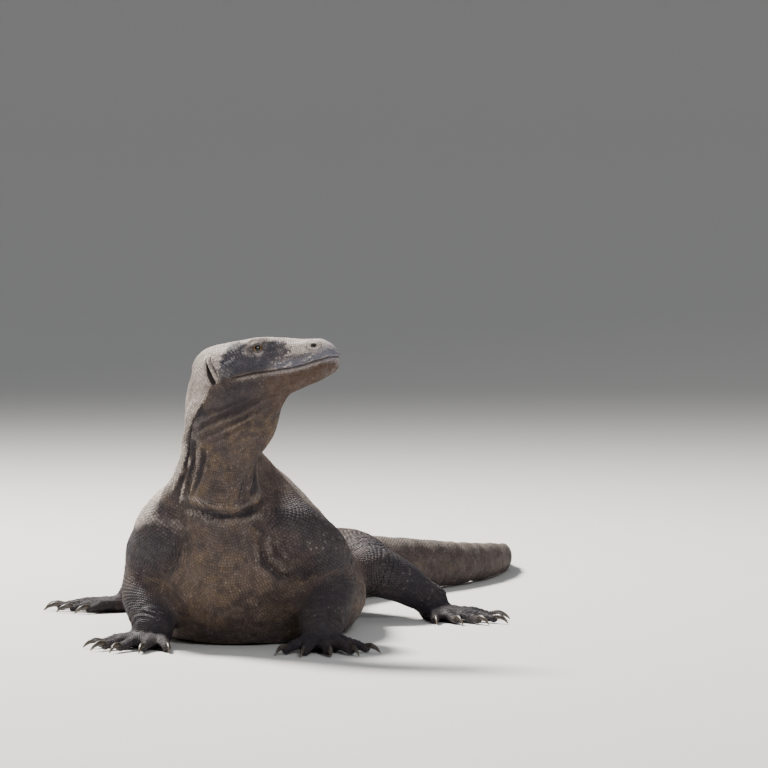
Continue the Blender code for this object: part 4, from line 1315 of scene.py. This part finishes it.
def nape_and_shadow_band(points):
    """The pale nape, partly its own colour and partly painted sunlight, less pale on the neck's back, and the
    band of painted shadow that borders it along each side of the neck.
    """
    local = points - OFFSET
    high = local[:, 2]
    levels, *middle = NECK_MIDDLE
    off = local[:, :2] - np.column_stack([np.interp(high, levels, column) for column in middle])
    bearing = np.degrees(np.arctan2(-off[:, 0], off[:, 1]))
    back = np.interp(high, *NAPE_BACK)
    turned = np.abs((bearing - back + 180) % 360 - 180)
    inside = np.interp(high, *NAPE_EDGE) - back - turned
    on_neck = smooth_step(high, 0.200, 0.270) * (1 - smooth_step(lengths(off), 0.070, 0.115))
    on_neck *= 1 - smooth_step(off[:, 0] - np.interp(high, *NAPE_LIMIT), 0.015, 0.045)
    reach = np.interp(high, *NAPE_SHADOW_BAND)
    band = smooth_step(inside, -reach - 8, -reach) * (1 - smooth_step(inside, -3, 0))
    band *= smooth_step(high, 0.25, 0.29)
    band *= 1 - smooth_step(high, 0.37, 0.39)
    behind = 1 - 0.32 * smooth_step(-turned, -75, -35)
    return on_neck * smooth_step(inside, -2, 1) * behind, on_neck * band


def markings(points, point_normals, lines, places=None):
    """The hide's markings, with painted light and shade, and relief at each point, by where on the body it is.

    The folds and the nape follow the places where the points truly are.
    """
    places = points if places is None else places
    on_head, head = head_markings(points)
    where, angle, _ = round_guide(points, lines[0])
    topside = np.cos(angle)
    level = points[:, 2] - OFFSET[2]
    soft = noise_at(points, 0.030, 3.0)
    broad = noise_at(points, 0.090, 9.0)
    fine = noise_at(points * [1.0, 1.0, 1.6], 0.010, 21.0)
    limb = limb_share(points, lines, 0.22 * soft)
    trunk = 1 - limb

    # pale: the nape, partly its own colour and partly painted sunlight; painted sunlight on the shoulder's
    # top; and less so the back
    nape, beside = nape_and_shadow_band(places + 0.0014 * noise_at(places, 0.012, 8.0)[:, None])
    # painted sunlight on the shoulder's upper side, cut off above the arm, which is left in painted shadow
    # under the shoulder
    shoulder = bell(lengths(points - placed(SHOULDER)), SHOULDER_REACH)
    shoulder *= smooth_step(point_normals[:, 2] + 0.2 * soft, 0.0, 0.45)
    shoulder *= smooth_step(level + 0.006 * soft, 0.165, 0.195)
    back = smooth_step(where, 7.0, 9.0) * smooth_step(topside + 0.15 * soft, 0.35, 0.85) * trunk
    pale = np.maximum((0.66 + 0.16 * soft + 0.32 * fine) * nape, np.maximum(0.80 * shoulder, 0.20 * back))
    pale = np.clip(pale + 0.12 * soft * (pale > 0.02), 0, 1)

    # dark: the limbs, and less so the flanks, throat and chest, the throat and chest partly as painted shade;
    # ochre on the chest and belly
    # the throat, darker partly in its own colour and partly as painted shade
    gular = trunk * smooth_step(level + 0.006 * soft, 0.325, 0.365) * (where < 9.0)
    chest = trunk * smooth_step(-topside, -0.2, 0.5) * (1 - nape) * (1 - 0.8 * beside)
    ochre = chest * smooth_step(soft + 0.6 * broad, -0.35, 0.45) * (1 - 0.5 * smooth_step(where, 12, 15))
    breast = bell(lengths(points - placed(BREAST)), BREAST_REACH)
    shades = [
        limb * (0.80 + 0.18 * smooth_step(-broad, -0.6, 0.4)) * (1 - 0.8 * shoulder),
        0.42 * smooth_step(where, 8.0, 11.0) * trunk,
        # the band of painted shadow beside the nape, and the throat, partly darker hide and partly painted
        # shade
        np.maximum(0.95 * beside, 0.62 * gular) * (1 - nape),
        # the chest, darker partly in its own colour and partly as painted shade, upward from a little above
        # the floor
        0.36 * chest * smooth_step(level, 0.10, 0.17),
    ]
    dark = np.max(shades, axis=0) * (1 - 0.6 * breast)

    # folds: painted shade in the grooves, and painted highlight on the crests between them, strongest on the
    # hanging folds and the breast's wrinkles
    fold = folds(places, point_normals)
    groove = smooth_step(-fold, 0.0006, 0.0034)
    hanging = bell_along(places, HANGING + OFFSET, 0.022) * (1 - smooth_step(level, 0.300, 0.322))
    crest = smooth_step(fold, 0.0007, 0.0022) * trunk * (0.24 + 1.5 * hanging)
    crest *= 1 - 0.75 * smooth_step(0.20 - level, -0.005, 0.010)
    crest += 0.22 * breast * smooth_step(fold, 0.0002, 0.0016)
    dark = np.maximum(dark, (0.9 - 0.4 * breast) * groove)
    pale = np.clip(pale * (1 - 0.8 * groove) + 0.40 * crest, 0, 1)

    return {
        "pale": pale * (1 - on_head) + head["pale"] * on_head,
        "dark": dark * (1 - on_head) + head["dark"] * on_head,
        # less ochre in the painted shade of the fold grooves
        "ochre": ochre * (1 - on_head) * (1 - 0.7 * groove),
        "rust": head["rust"],
        "blue": head["blue"],
        "pit": head["pit"],
        "relief": 0.19 - 0.06 * (topside < -0.25) * (1 - on_head) - 0.05 * on_head + 0.06 * nape,
        "keel": smooth_step(where, 14.5, 17.0) * trunk * smooth_step(topside, -0.4, 0.2),
    }


# ---------------------------------------------------------------- materials
def shader_of(made):
    return made.node_tree.nodes["Principled BSDF"]


def new_material(name, roughness):
    made = bpy.data.materials.new(name)
    made.use_nodes = True
    shader_of(made).inputs["Roughness"].default_value = roughness
    return made


class Nodes:
    """Short names for adding nodes to a material."""

    def __init__(self, made):
        self.tree = made.node_tree
        self.shader = shader_of(made)

    def link(self, output, socket):
        self.tree.links.new(output, socket)

    def give(self, value, socket):
        """A number or a colour as the socket's own value, or another node's output linked to it."""
        if isinstance(value, tuple):
            socket.default_value = (*value, 1.0)
        elif isinstance(value, (int, float)):
            socket.default_value = value
        else:
            self.link(value, socket)

    def attribute(self, name):
        node = self.tree.nodes.new("ShaderNodeAttribute")
        node.attribute_name = name
        return node.outputs["Fac"]

    def place(self):
        return self.tree.nodes.new("ShaderNodeTexCoord").outputs["Object"]

    def noise(self, size, detail=3.0):
        node = self.tree.nodes.new("ShaderNodeTexNoise")
        node.inputs["Scale"].default_value = 1.0 / size
        node.inputs["Detail"].default_value = detail
        self.link(self.place(), node.inputs["Vector"])
        return node.outputs["Fac"]

    def ramp(self, value, low, high, out_low=0.0, out_high=1.0):
        node = self.tree.nodes.new("ShaderNodeMapRange")
        node.interpolation_type = "SMOOTHSTEP"
        for key, number in (("From Min", low), ("From Max", high), ("To Min", out_low), ("To Max", out_high)):
            node.inputs[key].default_value = number
        self.link(value, node.inputs["Value"])
        return node.outputs["Result"]

    def maths(self, operation, first, second):
        node = self.tree.nodes.new("ShaderNodeMath")
        node.operation = operation
        for socket, value in zip(node.inputs, (first, second)):
            self.give(value, socket)
        return node.outputs["Value"]

    def times(self, first, second):
        return self.maths("MULTIPLY", first, second)

    def patchy(self, name, size, low, high, least, most=1.0):
        """An attribute, taken at least to some share, in patches of about a size."""
        return self.times(self.attribute(name), self.ramp(self.noise(size), low, high, least, most))

    def mix(self, share, first, second, blend="MIX"):
        node = self.tree.nodes.new("ShaderNodeMix")
        node.data_type = "RGBA"
        node.blend_type = blend
        for key, kind, value in (("Factor", "VALUE", share), ("A", "RGBA", first), ("B", "RGBA", second)):
            self.give(value, next(s for s in node.inputs if s.name == key and s.type == kind))
        return next(s for s in node.outputs if s.type == "RGBA")

    def grey(self, value):
        node = self.tree.nodes.new("ShaderNodeCombineColor")
        for socket in node.inputs:
            self.link(value, socket)
        return node.outputs["Color"]

    def finish(self, colour, roughness):
        """The mixed colour and roughness to the shader."""
        self.link(colour, self.shader.inputs["Base Color"])
        self.link(roughness, self.shader.inputs["Roughness"])

    def bump(self, height, distance, strength):
        node = self.tree.nodes.new("ShaderNodeBump")
        node.inputs["Distance"].default_value = distance
        node.inputs["Strength"].default_value = strength
        self.link(height, node.inputs["Height"])
        self.link(node.outputs["Normal"], self.shader.inputs["Normal"])


BROWN = (0.058, 0.039, 0.035)
BROWN_LIGHT = (0.105, 0.073, 0.060)
# slate and cream serve both the hide's own dark and pale patches and the painted shade and painted sunlight
# laid on it
SLATE = (0.024, 0.020, 0.027)
CREAM = (0.60, 0.52, 0.468)
OCHRE = (0.110, 0.074, 0.048)
RUST = (0.066, 0.037, 0.023)
BLUE_GREY = (0.195, 0.195, 0.240)
# black painted shade within the nostrils, ear slits, mouth line and the eye openings' edges
PAINTED_SHADE_BLACK = (0.022, 0.016, 0.015)
HORN_DARK = (0.018, 0.014, 0.012)
HORN_BROWN = (0.075, 0.058, 0.045)
HORN_WORN = (0.20, 0.16, 0.12)
EYE_RIM = (0.012, 0.009, 0.008)
IRIS = (0.070, 0.037, 0.015)
IRIS_GOLD = (0.20, 0.110, 0.036)
PUPIL = (0.002, 0.002, 0.002)
RIM_PAINTED_SHADE = 0.54  # the brightness of a scale's rim, painted shade in the gaps between scales


def hide_material():
    """Scaly hide: brown, slate, cream, ochre, rust and blue-grey by the markings, varied scale by scale, with
    painted shade at the scales' rims and black painted shade in the openings.
    """
    made = new_material("hide", 0.58)
    n = Nodes(made)
    chance = n.attribute("chance")
    colour = n.mix(n.ramp(n.noise(0.022), 0.40, 0.62), BROWN, BROWN_LIGHT)
    # dark and pale: partly the hide's own patches, partly painted shade, painted sunlight and painted
    # highlight
    colour = n.mix(n.patchy("dark", 0.035, 0.25, 0.60, 0.70), colour, SLATE)
    colour = n.mix(n.patchy("ochre", 0.014, 0.42, 0.60, 0.15, 0.95), colour, OCHRE)
    colour = n.mix(n.attribute("pale"), colour, CREAM)
    colour = n.mix(n.attribute("blue"), colour, BLUE_GREY)
    colour = n.mix(n.patchy("rust", 0.016, 0.35, 0.62, 0.35), colour, RUST)
    speck = n.times(n.ramp(chance, 0.93, 0.99), n.ramp(n.noise(0.05), 0.45, 0.62, 0.0, 0.09))
    colour = n.mix(speck, colour, CREAM)
    varied = n.ramp(chance, 0.0, 1.0, 0.80, 1.20)
    # random tone scale by scale, times painted shade that darkens each scale's rim and the skin between scales
    shade = n.times(varied, n.ramp(n.attribute("rim"), 0.1, 1.0, 1.0, RIM_PAINTED_SHADE))
    colour = n.mix(1.0, colour, n.grey(shade), "MULTIPLY")
    # black painted shade within the openings
    colour = n.mix(n.attribute("pit"), colour, PAINTED_SHADE_BLACK)
    n.finish(colour, n.ramp(n.noise(0.010), 0.3, 0.7, 0.56, 0.80))
    n.bump(n.noise(0.0011, 2.0), 0.0004, 0.6)
    n.shader.inputs["Specular IOR Level"].default_value = 0.34
    return made


def horn_material():
    """Dark claws, finely mottled brown, paler where they are worn at the tip."""
    made = new_material("horn", 0.34)
    n = Nodes(made)
    colour = n.mix(n.ramp(n.noise(0.004, 4.0), 0.35, 0.70), HORN_DARK, HORN_BROWN)
    colour = n.mix(n.ramp(n.attribute("along"), 0.70, 1.0, 0.0, 0.55), colour, HORN_WORN)
    n.finish(colour, n.ramp(n.noise(0.003), 0.3, 0.7, 0.26, 0.46))
    n.bump(n.noise(0.0008, 3.0), 0.0002, 0.5)
    return made


def eye_material():
    """Round dark pupil, brown iris with a golden inner ring, and a dark rim. The eye looks along local +X."""
    made = new_material("eye", 0.22)
    n = Nodes(made)
    split = n.tree.nodes.new("ShaderNodeSeparateXYZ")
    n.link(n.place(), split.inputs["Vector"])
    out = n.maths("DIVIDE", split.outputs["X"], EYE_RADIUS)
    ring = n.maths("ADD", out, n.times(n.maths("SUBTRACT", n.noise(0.0012, 2.0), 0.5), 0.05))
    colour = n.mix(n.ramp(ring, 0.64, 0.80), EYE_RIM, IRIS)
    colour = n.mix(n.ramp(ring, 0.86, 0.91), colour, IRIS_GOLD)
    colour = n.mix(n.ramp(ring, 0.932, 0.942), colour, PUPIL)
    n.link(colour, n.shader.inputs["Base Color"])
    n.shader.inputs["Coat Weight"].default_value = 0.25
    n.shader.inputs["Coat Roughness"].default_value = 0.03
    n.shader.inputs["Specular IOR Level"].default_value = 0.25
    return made


# ---------------------------------------------------------------- eyes and claws
def eyeball(side, finish):
    """One eye, its clear front a little proud. It looks out to the side and slightly ahead."""
    forward, out, up = EYE_IN_HEAD
    # rings round the line of sight, local +X, from back to front, then the middle points of both
    tilts = np.arange(EYE_RINGS, 0, -1) * math.pi / (EYE_RINGS + 1)
    turns = np.arange(EYE_SIDES) * 2 * math.pi / EYE_SIDES
    tilt, turn = (grid.ravel() for grid in np.meshgrid(tilts, turns, indexing="ij"))
    ways = np.column_stack([np.cos(tilt), np.sin(tilt) * np.cos(turn), np.sin(tilt) * np.sin(turn)])
    ways = np.vstack([ways, [-1.0, 0.0, 0.0], [1.0, 0.0, 0.0]])
    points = ways * (EYE_RADIUS + CORNEA_BULGE * smooth_step(ways[:, :1], 0.72, 1.0))
    name = "eyeball_left" if side > 0 else "eyeball_right"
    obj = new_object(name, mesh_from_arrays(name, points, tube_faces(EYE_RINGS, EYE_SIDES)))
    obj.data.materials.append(finish)
    gaze = HEAD.to_3x3() @ Vector((GAZE[0], GAZE[1] * side, GAZE[2]))
    obj.rotation_mode = "QUATERNION"
    obj.rotation_quaternion = gaze.to_track_quat("X", "Z")
    obj.location = HEAD @ Vector((forward, out * side, up))
    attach(obj, "root")
    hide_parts(name.replace("eyeball", "eye"))


def tube_faces(rings, sides):
    """Triangles of a tube whose rings turn anticlockwise seen from its far end, closed by two more points."""
    faces = []
    last = (rings - 1) * sides
    ends = rings * sides
    for first in range(0, last, sides):
        for k in range(sides):
            a, b = first + k, first + (k + 1) % sides
            faces += [(a, b + sides, a + sides), (a, b, b + sides)]
    for k in range(sides):
        n = (k + 1) % sides
        faces += [(ends, n, k), (ends + 1, last + k, last + n)]
    return np.array(faces)


def claw_mesh(name, line, radii):
    """A hooked claw along a line: taller than wide, and deeper above its middle line than below."""
    count = len(line)
    at = np.linspace(0, count - 1, CLAW_RINGS)
    centre = np.stack([cubic(at, line[:, k]) for k in range(3)], axis=1)
    radius = cubic(at, np.array(radii))
    ways = np.gradient(centre, axis=0)
    ways /= np.linalg.norm(ways, axis=1, keepdims=True)
    side = np.cross(ways, [0.0, 0.0, 1.0])
    side /= np.linalg.norm(side, axis=1, keepdims=True)
    over = np.cross(side, ways)
    turns = np.arange(CLAW_SIDES) * 2 * math.pi / CLAW_SIDES
    wide = 0.84 * np.sin(turns)
    high = np.cos(turns) * np.where(np.cos(turns) > 0, 1.08, 0.86)
    points = centre[:, None, :] + radius[:, None, None] * (
        side[:, None, :] * wide[None, :, None] + over[:, None, :] * high[None, :, None]
    )
    caps = [centre[:1] - ways[:1] * 0.001, centre[-1:] + ways[-1:] * 0.0006]
    points = np.vstack([points.reshape(-1, 3), *caps])
    points[:, 2] = np.maximum(points[:, 2], 0.0)
    mesh = mesh_from_arrays(name, points, tube_faces(CLAW_RINGS, CLAW_SIDES))
    add_attribute(mesh, "along", np.append(np.repeat(at / (count - 1), CLAW_SIDES), [0.0, 1.0]))
    return mesh


def cubic(at, values):
    """Catmull-Rom interpolation of a list at fractional places."""
    last = len(values) - 1
    i = np.clip(np.floor(at).astype(int), 0, last - 1)
    t = at - i
    p0, p1, p2, p3 = (values[np.clip(i + k, 0, last)] for k in (-1, 0, 1, 2))
    return 0.5 * (2 * p1 + (p2 - p0) * t + (2 * p0 - 5 * p1 + 4 * p2 - p3) * t**2
                  + (3 * p1 - p0 - 3 * p2 + p3) * t**3)


def claws(finish):
    """A claw on each toe, arched down from its tip to the floor."""
    for paw_name, paw in PAWS.items():
        for k, (toe, way) in enumerate(paw["toes"], 1):
            tip, length = toe[-1], paw["claw"]
            line = np.array([
                tip - way * 0.006 + [0, 0, 0.0010],
                tip + way * (length * 0.30) + [0, 0, 0.0042],
                tip + way * (length * 0.68) + [0, 0, 0.0010],
                tip + way * (length * 0.95) + [0, 0, 0.0022 - tip[2]],
            ])
            name = f"horn_{paw_name}_{k}"
            obj = new_object(name, claw_mesh(name, line, CLAW_RADII))
            obj.data.materials.append(finish)
            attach(obj, "root")
            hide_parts(f"claw_{paw_name}_{k}")


# ---------------------------------------------------------------- stage
def plain_material(name, colour, roughness):
    made = new_material(name, roughness)
    shader_of(made).inputs["Base Color"].default_value = (*colour, 1.0)
    return made


def floor():
    """A pale floor that curves up far out, so that it has no edge in view."""
    form = bmesh.new()
    turns = [2 * math.pi * k / FLOOR_SIDES for k in range(FLOOR_SIDES)]
    rows = [
        [form.verts.new((radius * math.cos(a), radius * math.sin(a), high)) for a in turns]
        for radius, high in FLOOR_RINGS
    ]
    middle = form.verts.new((0.0, 0.0, 0.0))
    for k in range(FLOOR_SIDES):
        form.faces.new((middle, rows[0][k], rows[0][(k + 1) % FLOOR_SIDES]))
    for one, two in zip(rows, rows[1:]):
        for k in range(FLOOR_SIDES):
            n = (k + 1) % FLOOR_SIDES
            form.faces.new((one[k], two[k], two[n], one[n]))
    for face in form.faces:
        face.smooth = True
    obj = new_object("floor", mesh_of("floor", form))
    obj.data.materials.append(plain_material("floor", (0.62, 0.61, 0.59), 0.9))


def area_light(name, place, target, power, colour):
    """A round soft light at a place, facing a target."""
    lamp = bpy.data.lights.new(name, "AREA")
    lamp.shape = "DISK"
    lamp.size = LIGHT_SIZE
    lamp.energy = power
    lamp.color = colour
    obj = new_object(name, lamp)
    obj.location = place
    obj.rotation_euler = (Vector(target) - Vector(place)).to_track_quat("-Z", "Y").to_euler()


def lights():
    """A pale sky, a warm light high up beyond the animal, and a weak cool one on the camera's side."""
    world = bpy.data.worlds.new("studio")
    world.use_nodes = True
    back = world.node_tree.nodes["Background"]
    back.inputs["Color"].default_value = (0.93, 0.96, 1.0, 1.0)
    back.inputs["Strength"].default_value = 0.36
    bpy.context.scene.world = world
    middle = (0.0, -0.5, 0.25)
    area_light("key", (-2.9, 1.3, 5.3), middle, 1550, (1.0, 0.965, 0.90))
    area_light("fill", (2.2, -6.0, 3.0), middle, 190, (0.95, 0.97, 1.0))


def camera():
    """The camera of the photo: far off, a little above the head, with a long lens."""
    lens = bpy.data.cameras.new("camera")
    lens.sensor_width = 36.0
    lens.lens = LENS
    lens.clip_end = 200.0
    obj = new_object("camera", lens)
    right = Vector((math.cos(CAMERA_AZIMUTH), math.sin(CAMERA_AZIMUTH), 0))
    ahead = Vector((-math.sin(CAMERA_AZIMUTH), math.cos(CAMERA_AZIMUTH), 0))
    aim = ahead * math.cos(CAMERA_TURN) + right * math.sin(CAMERA_TURN)
    aim = aim * math.cos(CAMERA_DIP) - Vector((0, 0, 1)) * math.sin(CAMERA_DIP)
    obj.location = SHIFT - ahead * CAMERA_DISTANCE + Vector((0, 0, CAMERA_HEIGHT))
    obj.rotation_mode = "QUATERNION"
    obj.rotation_quaternion = aim.to_track_quat("-Z", "Y")
    bpy.context.scene.camera = obj


# ---------------------------------------------------------------- building it
def slopes_of(points, faces, values):
    """The rows' gradient at each vertex."""
    a, b, c = (points[faces[:, k]] for k in range(3))
    normal = np.cross(b - a, c - a)
    double_area = np.linalg.norm(normal, axis=1, keepdims=True)
    rise = sum(
        values[faces[:, k], None] * np.cross(normal, edge)
        for k, edge in ((0, c - b), (1, a - c), (2, b - a))
    ) / np.maximum(double_area, 1e-12) ** 2
    out = np.zeros_like(points)
    weight = np.bincount(faces.ravel(), np.repeat(double_area[:, 0], 3), len(points))
    for axis in range(3):
        flow = np.repeat(rise[:, axis] * double_area[:, 0], 3)
        out[:, axis] = np.bincount(faces.ravel(), flow, len(points)) / weight
    return out


def finish_skin(mesh, points, point_normals, owners, lines, finish):
    """The skin's unwrap, markings, material and place in the table."""
    faces = triangles_of(mesh)
    a, b, c = owners[faces].T
    owned = np.where(b == c, b, a)
    middles = np.repeat(points[faces].mean(axis=1), 3, axis=0)
    add_map(mesh, unwrapped(points[faces.ravel()], np.repeat(owned, 3), lines, middles))
    count = len(points)
    # the skin shows only between the scales, so it takes nearly the full painted shade of a rim
    add_marks(mesh, markings(points, point_normals, lines), np.full(count, 0.5), np.full(count, 0.9))
    mesh.materials.append(finish)
    mesh.shade_smooth()
    obj = new_object("skin", mesh)
    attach(obj, "root")
    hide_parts(*flesh_nodes())


def coat(laid, lines, finish):
    """Scales in pieces of a bounded size, by row along the spine, and by limb."""
    centres = laid[:, :3]
    owners, _, _, rows = guide_field(centres, lines)
    # each scale takes its markings from a spot a little off its own, so that patches end raggedly
    random = np.random.default_rng(COAT_SEED)
    plain = smooth_step(face_fineness(centres), 0.88, 1.0)
    spots = centres + random.normal(0.0, STRAY, (len(laid), 3)) * plain[:, None]
    traits = markings(spots, laid[:, 3:6], lines, centres)
    kinds = np.array([line["name"].split("_")[0] for line in lines])[owners]
    for label, members in (("body", ["spine"]), ("arms", ["arm", "hand"]), ("legs", ["leg", "foot"])):
        ids = np.flatnonzero(np.isin(kinds, members))
        ids = ids[np.argsort(rows[ids], kind="stable")]
        pieces = max(1, math.ceil(len(ids) / PIECE_SCALES))
        for k, part in enumerate(np.array_split(ids, pieces), 1):
            chosen = {key: value[part] for key, value in traits.items()}
            obj = coat_piece(f"scales_{label}_{k}", laid[part], owners[part], lines, chosen)
            obj.data.materials.append(finish)
            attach(obj, "root")


def build():
    """The camera, the skin and its coat, the eyes and claws, then the stage."""
    camera()
    hide = hide_material()
    mesh = base_skin()
    points, point_normals, faces = coordinates(mesh), normals(mesh), triangles_of(mesh)
    lines = guides()
    number_rows(lines)
    owners, ways, sizes, start = guide_field(points, lines)
    sizes = sizes * face_fineness(points)
    values = solve_rows(points, faces, ways, sizes, start)
    slopes = slopes_of(points, faces, values)
    laid = place_scales(points, point_normals, faces, values, sizes, slopes)
    laid = fill_gaps(points, point_normals, slopes, sizes, laid)
    laid = laid[~open_skin(laid[:, :3])]
    coat(laid, lines, hide)
    finish_skin(mesh, points, point_normals, owners, lines, hide)
    eye = eye_material()
    for side, _name in SIDES:
        eyeball(side, eye)
    claws(horn_material())
    floor()
    lights()


build()
